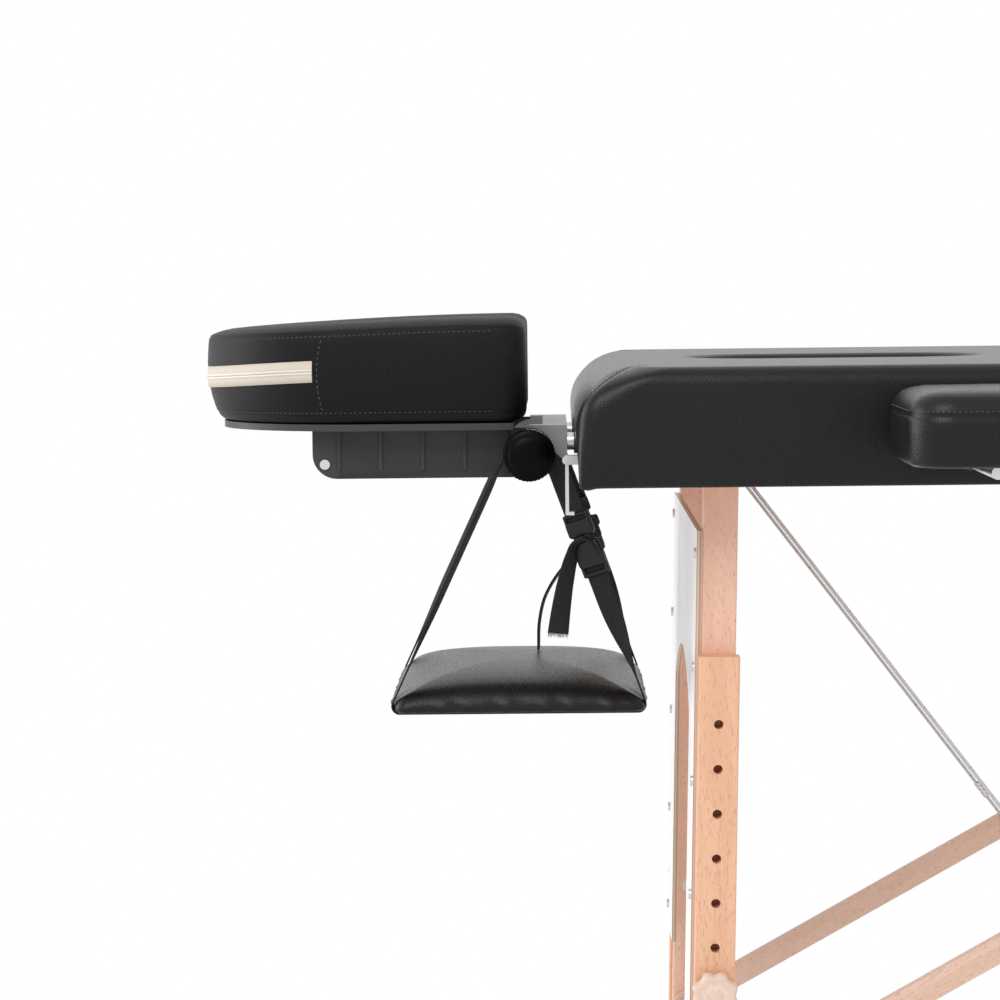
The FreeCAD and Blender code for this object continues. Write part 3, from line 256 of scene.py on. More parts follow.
def remap(tree, value, a, b, c=0.0, d=1.0):
    """A value's range a..b brought to c..d, held at the ends."""
    node = tree.nodes.new("ShaderNodeMapRange")
    tree.links.new(value, node.inputs["Value"])
    for label, number in zip(("From Min", "From Max", "To Min", "To Max"), (a, b, c, d)):
        node.inputs[label].default_value = number
    return node.outputs["Result"]


def object_coords(tree):
    """Object coordinates, in metres, of a piece that sits at the origin."""
    return tree.nodes.new("ShaderNodeTexCoord").outputs["Object"]


def axes_of(tree, vector):
    """A vector's X, Y and Z."""
    return node_on(tree, "SeparateXYZ", vector).outputs


def grain_group():
    """Pebbled hide: cells of two sizes give the height, their creases a mask, and slow noise the tone."""
    tree, inp, out = shader_group("leather grain", [("Cell", 420.0)], ["Height", "Crease", "Tone"])
    coords = object_coords(tree)
    heights = []
    for factor in (1.0, 2.3):
        cells = node_on(tree, "TexVoronoi", coords)
        cells.feature = "DISTANCE_TO_EDGE"
        tree.links.new(math_node(tree, "MULTIPLY", inp.outputs["Cell"], factor), cells.inputs["Scale"])
        heights.append(remap(tree, cells.outputs["Distance"], 0.0, 0.22))
    fine = noise(tree, coords, 900.0, 2.0)
    height = math_node(tree, "MULTIPLY_ADD", heights[1], 0.4, heights[0])
    height = math_node(tree, "ADD", height, math_node(tree, "MULTIPLY", fine, 0.3))
    tree.links.new(height, out.inputs["Height"])
    tree.links.new(math_node(tree, "SUBTRACT", 1.0, heights[0]), out.inputs["Crease"])
    tree.links.new(noise(tree, coords, 9.0, 4.0, 0.55), out.inputs["Tone"])
    return tree


def timber_group():
    """Wood along X of the vector: long wavy rings, fine pores along the grain, and a slow tone."""
    tree, inp, out = shader_group("timber grain", [], ["Ring", "Pore", "Tone"])
    tree.interface.new_socket(name="Vector", in_out="INPUT", socket_type="NodeSocketVector")
    vector = inp.outputs["Vector"]
    slant = node_on(tree, "Mapping", vector, Rotation=(0.12, 0.03, 0.02), Scale=(0.08, 1.0, 0.8))
    wave = node_on(tree, "TexWave", slant.outputs[0], Scale=95.0, Distortion=5.0, Detail=2.0,
                   Detail_Scale=1.2)
    wave.bands_direction = "Y"
    tree.links.new(wave.outputs["Fac"], out.inputs["Ring"])
    pore = noise(tree, vector, 1150.0, 1.0, 0.5, (0.13, 1.0, 1.0))
    tree.links.new(remap(tree, pore, 0.58, 0.70), out.inputs["Pore"])
    tree.links.new(noise(tree, vector, 3.0, 3.0, 0.5, (0.5, 3.0, 3.0)), out.inputs["Tone"])
    return tree


def wear_group():
    """Handling marks: slow blotches for roughness and a fine speckle for height."""
    tree, inp, out = shader_group("surface wear", [("Fine", 700.0)], ["Blotch", "Speckle"])
    coords = object_coords(tree)
    tree.links.new(noise(tree, coords, 14.0, 4.0, 0.6), out.inputs["Blotch"])
    tree.links.new(noise(tree, coords, inp.outputs["Fine"], 2.0, 0.5), out.inputs["Speckle"])
    return tree


def edge_group():
    """Worn or eased edges: a mask from how sharply the surface turns."""
    tree, _, out = shader_group("eased edge", [], ["Edge"])
    point = tree.nodes.new("ShaderNodeNewGeometry").outputs["Pointiness"]
    tree.links.new(remap(tree, point, 0.5, 0.58), out.inputs["Edge"])
    return tree


GRAIN, TIMBER, WEAR, EDGE = grain_group(), timber_group(), wear_group(), edge_group()


# Finishes


def finish(name, colour, roughness, metallic=0.0, specular=0.5):
    """A material with its Principled shader, and its tree to add to."""
    material = bpy.data.materials.new(name)
    material.use_nodes = True
    material.diffuse_color = (*colour, 1)
    shader = material.node_tree.nodes["Principled BSDF"]
    shader.inputs["Base Color"].default_value = (*colour, 1)
    shader.inputs["Roughness"].default_value = roughness
    shader.inputs["Metallic"].default_value = metallic
    shader.inputs["Specular IOR Level"].default_value = specular
    return material, material.node_tree, shader


def use(tree, group, **values):
    """Place a shader group in a material."""
    node = tree.nodes.new("ShaderNodeGroup")
    node.node_tree = group
    for label, number in values.items():
        node.inputs[label].default_value = number
    return node.outputs


def scaled(colour, *factors):
    """A colour times one factor, or times a factor for each channel, held at 1."""
    return tuple(min(c * k, 1) for c, k in zip(colour, factors if len(factors) == 3 else factors * 3))


def mix(tree, factor, a, b):
    """Two colours mixed by a mask; each is a colour or a socket."""
    node = tree.nodes.new("ShaderNodeMix")
    node.data_type = "RGBA"
    tree.links.new(factor, node.inputs["Factor"])
    for label, source in (("A", a), ("B", b)):
        socket = next(s for s in node.inputs if s.name == label and s.type == "RGBA")
        if isinstance(source, tuple):
            socket.default_value = (*source, 1)
        else:
            tree.links.new(source, socket)
    return next(s for s in node.outputs if s.type == "RGBA")


def coat(tree, shader, colour, roughness, height, depth, strength):
    """Link a colour, a roughness and a relief of a depth in metres to the shader."""
    bump = tree.nodes.new("ShaderNodeBump")
    bump.inputs["Strength"].default_value = strength
    bump.inputs["Distance"].default_value = depth
    tree.links.new(height, bump.inputs["Height"])
    tree.links.new(bump.outputs["Normal"], shader.inputs["Normal"])
    tree.links.new(colour, shader.inputs["Base Color"])
    tree.links.new(roughness, shader.inputs["Roughness"])


def leather(name, colour, cell, rough, specular, relief):
    """Grained hide: creases darker and rougher than the pebbles, whose number per metre is cell."""
    material, tree, shader = finish(name, colour, 0.5, 0.0, specular)
    hide = use(tree, GRAIN, Cell=cell)
    tone = mix(tree, remap(tree, hide["Tone"], 0.3, 0.7), colour, scaled(colour, 1.5))
    shade = mix(tree, hide["Crease"], tone, scaled(colour, 0.5))
    blend = math_node(tree, "MULTIPLY_ADD", hide["Crease"], rough[1] - rough[0], rough[0])
    coat(tree, shader, shade, blend, hide["Height"], 0.0004, relief)
    return material


def wood_grain(tree, turn, shift=(0.0, 0.0, 0.0)):
    """The timber grain on coordinates turned, so that it runs along the piece, and shifted."""
    mapping = node_on(tree, "Mapping", object_coords(tree), Rotation=turn, Location=shift)
    wood = tree.nodes.new("ShaderNodeGroup")
    wood.node_tree = TIMBER
    tree.links.new(mapping.outputs[0], wood.inputs["Vector"])
    return wood.outputs


def timber(name, colour, turn, rough=0.38, shift=(0.0, 0.0, 0.0)):
    """Lacquered beech: rings and short dark flecks that run along the piece."""
    material, tree, shader = finish(name, colour, rough)
    wood = wood_grain(tree, turn, shift)
    tone = mix(tree, remap(tree, wood["Tone"], 0.35, 0.65), scaled(colour, 1.06), colour)
    rings = math_node(tree, "MULTIPLY", wood["Ring"], 0.34)
    ringed = mix(tree, rings, tone, scaled(colour, 0.86, 0.78, 0.70))
    flecks = math_node(tree, "MULTIPLY", wood["Pore"], 0.55)
    flecked = mix(tree, flecks, ringed, scaled(colour, 0.62, 0.5, 0.44))
    lacquer = remap(tree, wood["Tone"], 0.2, 0.8, rough - 0.06, rough + 0.1)
    relief = math_node(tree, "SUBTRACT", math_node(tree, "MULTIPLY", wood["Ring"], 0.3), wood["Pore"])
    coat(tree, shader, flecked, lacquer, relief, 0.00012, 0.5)
    return material


def worn(name, colour, roughness, metallic=0.0, fine=700.0, depth=0.00006, specular=0.5, edge=None):
    """Moulded, cast or plated: blotched roughness, speckled relief, and edges rubbed lighter if asked."""
    material, tree, shader = finish(name, colour, roughness, metallic, specular)
    marks = use(tree, WEAR, Fine=fine)
    blotched = remap(tree, marks["Blotch"], 0.3, 0.7, max(roughness - 0.08, 0.05), roughness + 0.08)
    shade = mix(tree, marks["Blotch"], scaled(colour, 0.9), scaled(colour, 1.1))
    if edge:
        shade = mix(tree, use(tree, EDGE)["Edge"], shade, edge)
    coat(tree, shader, shade, blotched, marks["Speckle"], depth, 0.6)
    return material


HIDE = leather("black hide", (0.0078, 0.0078, 0.0082), 420.0, (0.25, 0.36), 0.24, 0.2)
HIDE_FINE = leather("black hide fine", (0.0045, 0.0045, 0.005), 520.0, (0.4, 0.55), 0.16, 0.3)
THREAD = worn("grey thread", (0.09, 0.09, 0.095), 0.75, fine=1500.0)


# Upholstery


def rounded_outline(x0, x1, y0, y1, corner, count):
    """Points spaced evenly round a rectangle with round corners, and the outward normals there.

    The outline is four quarter circles joined by straight sides, walked anticlockwise; corner is their
    radius, or a pair of radii for the low and the high end of X.
    """
    low, high = corner if isinstance(corner, tuple) else (corner, corner)
    angle = np.radians(np.linspace(0, 90, 40))
    arcs = []
    for quarter, (x, y, r) in enumerate(((x1 - high, y1 - high, high), (x0 + low, y1 - low, low),
                                         (x0 + low, y0 + low, low), (x1 - high, y0 + high, high))):
        turn = angle + quarter * np.pi / 2
        arcs.append(np.stack([x + r * np.cos(turn), y + r * np.sin(turn)], -1))
    path = np.concatenate(arcs + [arcs[0][:1]])
    length = distances(path)
    points = read_at(np.linspace(0, length[-1], count, endpoint=False), length, path)
    tangent = normalised(np.roll(points, -1, 0) - np.roll(points, 1, 0))
    return points, np.stack([tangent[:, 1], -tangent[:, 0]], -1)


def raised(plan, z):
    """Points of a plan at a height, which may vary from point to point."""
    return np.concatenate([plan, np.broadcast_to(z, len(plan))[:, None]], 1)


def ring(points, normals, inset, z):
    """An outline drawn in along its normals at a height; the inset and the height may vary round it."""
    return raised(points - normals * np.broadcast_to(inset, len(points))[:, None], z)


def slot_outline(centre, angle, half, straight):
    """Where rays at the angles given meet a slot: straight half-length along X, ends of radius half."""
    c, s = np.cos(angle), np.sin(angle)
    flat = half / np.maximum(np.abs(s), 1e-9)
    b = straight * np.abs(c)
    end = b + np.sqrt(np.maximum(half ** 2 - (straight * s) ** 2, 0))
    reach = np.where(flat * np.abs(c) <= straight, flat, end)
    return np.stack([centre + reach * c, reach * s], -1)


# Corner radii of the plan, radii of the edge over the side, the hem's height and the face hole
HEM_CORNER, TOP_CORNER, SPLIT_CORNER = 18.0, 58.0, 6.0
END_EDGE, SIDE_EDGE, SPLIT_EDGE = 54.0, 16.0, 4.0
HEM_Z = 622.5
HOLE_HALF, HOLE_STRAIGHT, HOLE_LIP = 65.0, 63.0, 14.0
SEAM_ROWS = slice(13, 31)


def corner_mask(normals, way, width, least):
    """1 on the diagonals of an outline's corners at one end of X, falling off within the width."""
    diagonal = np.abs(normals[:, 0]) - np.abs(normals[:, 1])
    return np.exp(-(diagonal / width) ** 2) * (normals[:, 0] * way > least)


def table_half(outer, split, hole_at):
    """One padded half of the top in its cover, from the hem under the rails to the face hole or middle.

    Rings run up the side, whose lower end draws in under the outer end, over an edge that is round at
    the outer end, tighter along the sides and sharp at the split, and then inwards over a flat top to
    the hole's rolled lip. The plan's outer corners open over the edge, and the hem bulges a little there.
    """
    x0, x1 = min(outer, split), max(outer, split)
    way = math.copysign(1, outer - split)
    outlines = []
    for radius in (HEM_CORNER, TOP_CORNER):
        corners = (radius, SPLIT_CORNER) if way < 0 else (SPLIT_CORNER, radius)
        outlines.append(rounded_outline(x0, x1, -HALF_WIDTH, HALF_WIDTH, corners, 900))
    (hem, hem_normals), (points, normals) = outlines
    end = np.clip(normals[:, 0] * way, 0, 1) ** 2
    joint = np.clip(-normals[:, 0] * way, 0, 1) ** 2
    side = normals[:, 1] ** 2
    edge = SIDE_EDGE + (END_EDGE - SIDE_EDGE) * (1 - smooth(np.abs(points[:, 0] - outer), 8, 80))
    edge = SPLIT_EDGE + (edge - SPLIT_EDGE) * smooth(np.abs(points[:, 0] - split), 8, 70)
    corner = corner_mask(hem_normals, way, 0.6, 0.02)
    drawn_in, bulge = 8 * end + 1.5 * side, 2.6
    foot = drawn_in * (1 - corner) - bulge * corner
    low = HEM_Z - 1.6 * corner
    rings = [ring(hem, hem_normals, foot + inset, low + rise)
             for inset, rise in ((22, 1.2), (8, 0), (2.4, 0.8), (0.4, 3))]
    for share in np.linspace(0.06, 1, 12):
        z = low + 3 + share * (LEATHER_TOP - edge - low - 3)
        inset = foot * (1 - share) - 1.1 * np.sin(np.pi * share) * (1 - joint)
        rings.append(ring(hem, hem_normals, inset, z))
    for turn in np.radians(np.linspace(8, 90, 14)):
        inset, z = edge * (1 - np.cos(turn)), LEATHER_TOP - edge * (1 - np.sin(turn))
        opened = smooth(turn, 0.35, 1.35)
        shut = ring(hem, hem_normals, inset, z)
        rings.append(shut * (1 - opened) + ring(points, normals, inset, z) * opened)
    last = rings[-1]
    centre = hole_at if hole_at else (x0 + x1) / 2
    direction = np.arctan2(last[:, 1], last[:, 0] - centre)
    half, straight, roll = (HOLE_HALF, HOLE_STRAIGHT, HOLE_LIP) if hole_at else (1.0, 150.0, 0.0)
    lip = slot_outline(centre, direction, half, straight)
    spine = np.clip(lip[:, 0], centre - straight, centre + straight)
    out = normalised(lip - np.stack([spine, 0 * spine], -1))
    for share in np.linspace(0, 1, 17)[1:]:
        rings.append(raised(last[:, :2] * (1 - share) + (lip + out * roll) * share, LEATHER_TOP))
    if hole_at:
        for turn in np.radians(np.linspace(15, 90, 6)):
            flat = lip + out * roll * (1 - np.sin(turn))
            rings.append(raised(flat, LEATHER_TOP - roll * (1 - np.cos(turn))))
        for z in (705, 690, 680, 677.4):
            rings.append(raised(lip + out * 0.4, z))
    grid = np.stack(rings)
    crease = corner_mask(normals, way, 0.09, 0)
    depth = np.interp(np.arange(len(grid)), [3, 6, 28, 30], [0, 1.4, 1.4, 0])
    grid[..., :2] -= (depth[:, None] * crease[None])[..., None] * normals[None]
    return grid, corner_lines(grid, normals, way)


def corner_lines(grid, normals, way):
    """The seams at the outer corners: grid columns on both sides of the crease, up over the edge."""
    lines = []
    outward = np.where(normals[:, 0] * way > 0)[0]
    for sign in (-1, 1):
        wanted = outward[normals[outward, 1] * sign > 0]
        middle = wanted[np.argmin(np.abs(np.abs(normals[wanted, 0]) - np.abs(normals[wanted, 1])))]
        for step in (-2, 2):
            column = (middle + step) % grid.shape[1]
            line = resample(grid[SEAM_ROWS, column], 1.5)
            out = np.concatenate([normals[middle] * 0.7, [0.7]])
            out = np.repeat(out[None], len(line), 0)
            lines.append(stitches(line, out, pitch=4.6, length=3.2, thick=0.4))
    return lines


def make_top():
    """Both halves of the top, with their corner stitching."""
    for end, outer, split, hole in (("head", X_HEAD, X_MID - 0.6, X_HEAD + 241.0),
                                    ("foot", 2 * X_MID - X_HEAD, X_MID + 0.6, None)):
        grid, seams = table_half(outer, split, hole)
        rows, columns = grid.shape[:2]
        faces = grid_faces(rows, columns)
        if not hole:
            faces.append(list(range((rows - 1) * columns, rows * columns)))
        body = end + "_section"
        top = new_piece(end + "_upholstery", grid, faces, body, HIDE, "black_leather")
        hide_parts(end + "_cushion", end + "_skirt")
        new_piece(end + "_corner_stitching", *gather(seams), body, THREAD, "black_leather")


# The face cushion: radii of its two edges, rear end, centres, base, height, and rounding of the rear ends
FACE_RADIUS = 145.0
FACE_HOLE = 48.0
FACE_REAR = X_HEAD - 42.0
FACE_OUT = X_HEAD - 337.0 + FACE_RADIUS
FACE_IN = FACE_OUT + 7.0
FACE_BASE = 670.3
FACE_HIGH = 94.0
FACE_END = 22.0
FACE_ROLL = 15.0

# Section of the face cushion as (inset, height): flat foot, boxing between two seams, and a crowned top
FACE_SECTION = np.array([(46, 0), (24, 0), (10, 0.3), (5.5, 2), (3.6, 4.5), (2.6, 7.2), (2.9, 8.2),
                         (2.0, 9.4), (1.0, 14), (0, 24), (-0.7, 36), (-0.9, 46), (-0.7, 59), (-0.2, 71),
                         (0.4, 79), (1.2, 82.9), (2.2, 84.1), (2.1, 85.3), (4.2, 86.9), (8.5, 88.8),
                         (14.5, 90.9), (22, 92.6), (31, 93.6), (42, FACE_HIGH)])


def face_rails(leg, bend):
    """The outer and inner edges of the horseshoe as matched rows of points, from rear end to rear end."""
    sweep = np.radians(np.linspace(270, 90, bend))
    rails = []
    for x_c, radius in ((FACE_OUT, FACE_RADIUS), (FACE_IN, FACE_HOLE)):
        x = FACE_REAR - leg * (FACE_REAR - x_c)
        near = np.stack([x, np.full_like(x, -radius)], -1)
        arc = np.stack([x_c + radius * np.cos(sweep), radius * np.sin(sweep)], -1)
        rails.append(np.concatenate([near, arc[1:-1], near[::-1] * [1, -1]]))
    return rails


def face_inset(z):
    """How far the cushion's side lies within its edge at a height."""
    return np.interp(z, FACE_SECTION[:, 1], FACE_SECTION[:, 0])


def face_fall(x):
    """The share of its height the cushion has at X: all of it at the rear, a seventh less in front."""
    return 1 - 0.143 * np.clip((FACE_REAR - x) / 295, 0, 1) ** 2


def face_lean(z, front):
    """How far the outer side draws in low down; front is 1 straight ahead and 0 at the sides."""
    return 8 * np.clip(1 - z / 62, 0, 1) ** 2 * front ** 2


def make_face_cushion():
    """The horseshoe cushion: each section is set between the two edges and is lower in front.

    A point is middle + across * (half width - inset), its height scaled by face_fall. Near a rear end the
    half width follows a quarter circle, the top rolls down by up to 9 mm and the foot rolls up by 10.
    """
    leg = np.concatenate([[0, 0.006, 0.02, 0.05, 0.09, 0.14], np.linspace(0.2, 1, 14)])
    outer, inner = face_rails(leg, 72)
    both_sides = np.concatenate([FACE_SECTION, FACE_SECTION[::-1]])
    inset, height = both_sides.T
    sign = np.repeat([1.0, -1.0], len(FACE_SECTION))
    middle, span = (outer + inner) / 2, np.linalg.norm(outer - inner, axis=1) / 2
    across = normalised(outer - inner)
    front = np.clip(-across[:, 0], 0, 1)
    distance = FACE_REAR - outer[:, 0]
    short = np.clip(FACE_END - distance, 0, FACE_END)
    span = span - FACE_END + np.sqrt(FACE_END ** 2 - short ** 2)
    lean = face_lean(height[None], front[:, None]) * (sign > 0)
    reach = np.maximum(span[:, None] - inset[None] - lean, 0.4)
    flat = middle[:, None] + across[:, None] * (sign[None] * reach)[..., None]
    fall = face_fall(middle[:, 0])
    roll = 1 - np.sqrt(1 - (np.clip(FACE_ROLL - distance, 0, FACE_ROLL) / FACE_ROLL) ** 2)
    share = height[None] / FACE_HIGH
    z = height[None] * fall[:, None] + roll[:, None] * (10 * (1 - share) ** 3 - 9 * share ** 3)
    points = np.concatenate([flat, (FACE_BASE + z)[..., None]], -1)
    cushion = new_piece("face_upholstery", *closed_grid(points[::-1]), "headrest", HIDE_FINE,
                        "black_leather")
    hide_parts("face_cushion")
    make_zip()
    seams = []
    for z in (10.5, 81.5):
        drawn = span - face_inset(z) - face_lean(z, front)
        row = raised(middle + across * drawn[:, None], FACE_BASE + z * fall)
        seams.append(stitches(row[6:-6], raised(across, 0.0)[6:-6], pitch=4.4, length=3.0, thick=0.4))
    z = np.linspace(12, 81, 60)
    for way in (-1, 1):
        turn = np.radians(180 + way * (76.2 + 1.8 * ((z - 46) / 35) ** 2))
        drawn = FACE_RADIUS - face_inset(z) - face_lean(z, -np.cos(turn))
        x, y = FACE_OUT + drawn * np.cos(turn), drawn * np.sin(turn)
        normal = np.stack([np.cos(turn), np.sin(turn), 0 * z], -1)
        row = np.stack([x, y, FACE_BASE + z * face_fall(x)], -1)
        seams.append(stitches(row, normal, pitch=5.0, length=3.6, thick=0.55))
    new_piece("face_stitching", *gather(seams), "headrest", THREAD, "black_leather")


TAPE = worn("cream zip tape", (0.62, 0.545, 0.47), 0.7, fine=1800.0, depth=0.0002)
COIL = worn("cream zip coil", (0.80, 0.74, 0.66), 0.4, fine=900.0)


def make_zip():
    """The zip in the front boxing: a tape bent round the front, and two ridged coils on its middle."""
    count, reach_each_way = 440, 74.5
    angle = np.radians(np.linspace(180 - reach_each_way, 180 + reach_each_way, count))
    front = -np.cos(angle)
    out = np.stack([np.cos(angle), np.sin(angle), 0 * angle], -1)
    up = np.broadcast_to([0, 0, 1.0], out.shape)
    level = 50.0 * face_fall(FACE_OUT - FACE_RADIUS * front) - 3.2 * front ** 2
    reach = FACE_RADIUS + 0.9 - face_lean(46.0, front)
    line = np.array([FACE_OUT, 0, FACE_BASE]) + out * reach[:, None] + level[:, None] * up
    section = np.array([(-9.5, -1.4), (-9.5, 0.25), (-3, 0.45), (3, 0.45), (9.5, 0.25), (9.5, -1.4)])
    new_piece("zip_tape", *closed_grid(carried(line, section, up, out)), "headrest", TAPE, "webbing")
    ridge = 0.75 + 0.55 * np.abs(np.sin(np.arange(count) * np.pi / 2))[:, None]
    loops = []
    for offset in (-1.25, 1.25):
        row = line + up * offset + out * 0.45
        loops.append(closed_grid(carried(row, ring_profile(1.0, 8), up * ridge, out * ridge)))
    new_piece("zip_coil", *gather(loops), "headrest", COIL, "webbing")


def pad_grid(x0, x1, y0, y1, corner, count, section, pucker=0.0, folds=0):
    """A pad as rings from its underside to its crown, by a section of (inset, height, share of puckers).

    The puckers are uneven waves round the hem. Insets past 0.8 of the corner's radius close on the middle.
    """
    points, normals = rounded_outline(x0, x1, y0, y1, corner, count)
    turn = np.arange(count) / count * 2 * np.pi
    wave = pucker * (np.sin(folds * turn) + 0.5 * np.sin(folds * 1.62 * turn + 1.3))
    middle = np.array([(x0 + x1) / 2, (y0 + y1) / 2])
    most = 0.8 * corner
    limit = min(x1 - x0, y1 - y0) / 2 - most
    rings = []
    for inset, z, share in section:
        drawn = ring(points, normals, min(inset, most) + wave * share, z)
        closed = max(inset - most, 0) / limit
        drawn[:, :2] = drawn[:, :2] * (1 - closed) + middle * closed
        rings.append(drawn)
    return np.stack(rings), points, normals


def make_arm_pads():
    """The side armrests' pads, with a seam and topstitching a third of the way down."""
    section = [(40, 648), (12, 648.2), (5, 648.8), (1.6, 651), (0.6, 655), (0, 664), (-0.6, 674),
               (-0.4, 683), (0.4, 687), (1.5, 688.4), (1.1, 690), (2.0, 694), (4.5, 699), (9, 703.3),
               (16, 706), (26, 707.6), (40, 708.4), (60, 708.8), (84, 709)]
    section = [(inset, z, 0) for inset, z in section]
    for side, sign in (("near", -1), ("far", 1)):
        body = side + "_armrest"
        y0, y1 = sorted((sign * 316.4, sign * 496.0))
        grid, points, normals = pad_grid(X_HEAD + 255, X_HEAD + 855, y0, y1, 34.0, 480, section)
        pad = new_piece(side + "_arm_upholstery", *closed_grid(grid), body, HIDE, "black_leather")
        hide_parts(side + "_armrest_pad")
        row, out = ring(points, normals, 1.4, 692.2), raised(normals, 0.0)
        seam = stitches(np.concatenate([row, row[:1]]), np.concatenate([out, out[:1]]), thick=0.42)
        new_piece(side + "_arm_stitching", *seam, body, THREAD, "black_leather")


SLING_X = X_HEAD - 51.5
SLING_HALF = 111.5
STRAP_Y = 126.0


def make_sling_pad():
    """The arm shelf: a soft domed pad, widest at its foot, puckered, and pressed in by the straps."""
    section = [(70, 412.3, 0), (30, 412.0, 0.4), (9, 412.2, 1), (2.6, 413.1, 1), (0.6, 415.2, 0.9),
               (0.6, 418.4, 0.7), (1.5, 422, 0.5), (3.0, 425.4, 0.3), (5.4, 428.8, 0.15), (8.8, 432, 0.1),
               (13, 434.8, 0), (20, 437.8, 0), (30, 440.6, 0), (44, 443, 0), (60, 444.8, 0), (78, 446, 0),
               (98, 446.4, 0)]
    x0, x1 = SLING_X - SLING_HALF, SLING_X + SLING_HALF
    grid, _, _ = pad_grid(x0, x1, -150, 150, 18.0, 420, section, 1.0, 34)
    from_middle = (grid[..., 0] - SLING_X) / SLING_HALF
    pressed = np.exp(-((np.abs(grid[..., 1]) - STRAP_Y) / 13) ** 4)
    grid[..., 0] += 4 * from_middle ** 7 * (1 - pressed)
    grid[..., 2] -= 0.42 * np.clip(grid[..., 2] - 417, 0, None) * np.abs(from_middle) ** 3
    pad = new_piece("sling_upholstery", *closed_grid(grid), "arm_sling", HIDE, "black_leather")
    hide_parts("sling_pad")


# Webbing, cables and knobs


def webbing(name, colour):
    """Woven strap: ribs across the band from two crossed waves, and a matt thread."""
    material, tree, shader = finish(name, colour, 0.8, 0.0, 0.3)
    coords = object_coords(tree)
    ribs = []
    for direction, scale in (("Z", 330.0), ("Y", 260.0)):
        wave = node_on(tree, "TexWave", coords, Scale=scale, Distortion=0.6)
        wave.bands_direction = direction
        ribs.append(wave.outputs["Fac"])
    weave = math_node(tree, "MULTIPLY", ribs[0], ribs[1])
    marks = use(tree, WEAR, Fine=1400.0)
    shade = mix(tree, weave, scaled(colour, 0.55), scaled(colour, 1.5))
    matt = remap(tree, marks["Blotch"], 0.3, 0.7, 0.72, 0.9)
    relief = math_node(tree, "ADD", weave, math_node(tree, "MULTIPLY", marks["Speckle"], 0.4))
    coat(tree, shader, shade, matt, relief, 0.0004, 0.7)
    return material


WEB = webbing("black webbing", (0.022, 0.022, 0.023))


def tangent_loop(rounds):
    """The loop drawn tight round circles (x, z, radius) taken anticlockwise, as its runs and arcs."""
    ends = []
    for (ax, az, ar), (bx, bz, br) in zip(rounds, rounds[1:] + rounds[:1]):
        way = np.array([bx - ax, bz - az])
        far = np.linalg.norm(way)
        way = way / far
        lean = math.acos((ar - br) / far)
        out = way * math.cos(lean) + np.array([way[1], -way[0]]) * math.sin(lean)
        start = np.array([ax, az]) + out * ar
        end = np.array([bx, bz]) + out * br
        ends.append((start, end, math.atan2(out[1], out[0])))
    runs = []
    for n, (start, end, angle) in enumerate(ends):
        x, z, radius = rounds[(n + 1) % len(rounds)]
        turn = (ends[(n + 1) % len(ends)][2] - angle) % (2 * math.pi)
        sweep = angle + np.linspace(0, turn, 14)[1:-1]
        share = np.linspace(0, 1, max(int(np.linalg.norm(end - start) / 3), 2))[:, None]
        arc = np.stack([x + radius * np.cos(sweep), z + radius * np.sin(sweep)], -1)
        runs.append((start * (1 - share) + end * share, arc))
    return runs


BAND_HALF = np.array([(-10, -0.4), (-9.7, -0.75), (-5, -0.8), (0, -0.8), (5, -0.8), (9.7, -0.75),
                      (10, -0.4)])
BAND = np.concatenate([BAND_HALF, -BAND_HALF])


def band(path, twist, y, closed):
    """The strap's section along a path in X and Z, turned about it by the twist given at each point."""
    path = np.stack([path[:, 0], np.broadcast_to(y, len(path)), path[:, 1]], -1)
    side, _ = side_vectors(path, Y_AXIS, closed)
    across = Y_AXIS * np.cos(twist)[:, None] + side * np.sin(twist)[:, None]
    face = normalised(np.cross(normalised(np.gradient(path, axis=0)), across))
    points = carried(path, BAND, across, face)
    if closed:
        return points, grid_faces(*points.shape[:2], wrap_rows=True)
    return closed_grid(points)


def curve_through(points, step):
    """A smooth line through a few points, spaced evenly."""
    points = np.asarray(points, float)
    at = distances(points)
    fine = np.linspace(0, at[-1], int(at[-1] / step))
    slope = np.gradient(points, at, axis=0)
    seg = np.clip(np.searchsorted(at, fine) - 1, 0, len(at) - 2)
    h = (at[seg + 1] - at[seg])[:, None]
    t = ((fine - at[seg]) / h[:, 0])[:, None]
    a, b = 2 * t ** 3 - 3 * t ** 2 + 1, t ** 3 - 2 * t ** 2 + t
    c, d = 3 * t ** 2 - 2 * t ** 3, t ** 3 - t ** 2
    return a * points[seg] + b * h * slope[seg] + c * points[seg + 1] + d * h * slope[seg + 1]


SLING_ROUNDS = [(X_HEAD + 54.8, 418.0, 6.8), (X_HEAD - 40.0, 642.0, 19.1), (X_HEAD - 157.8, 418.0, 6.8)]
RUN_TURN = math.radians(66)
TAIL_TURN = math.radians(68)
BUCKLE_Z = 559.5


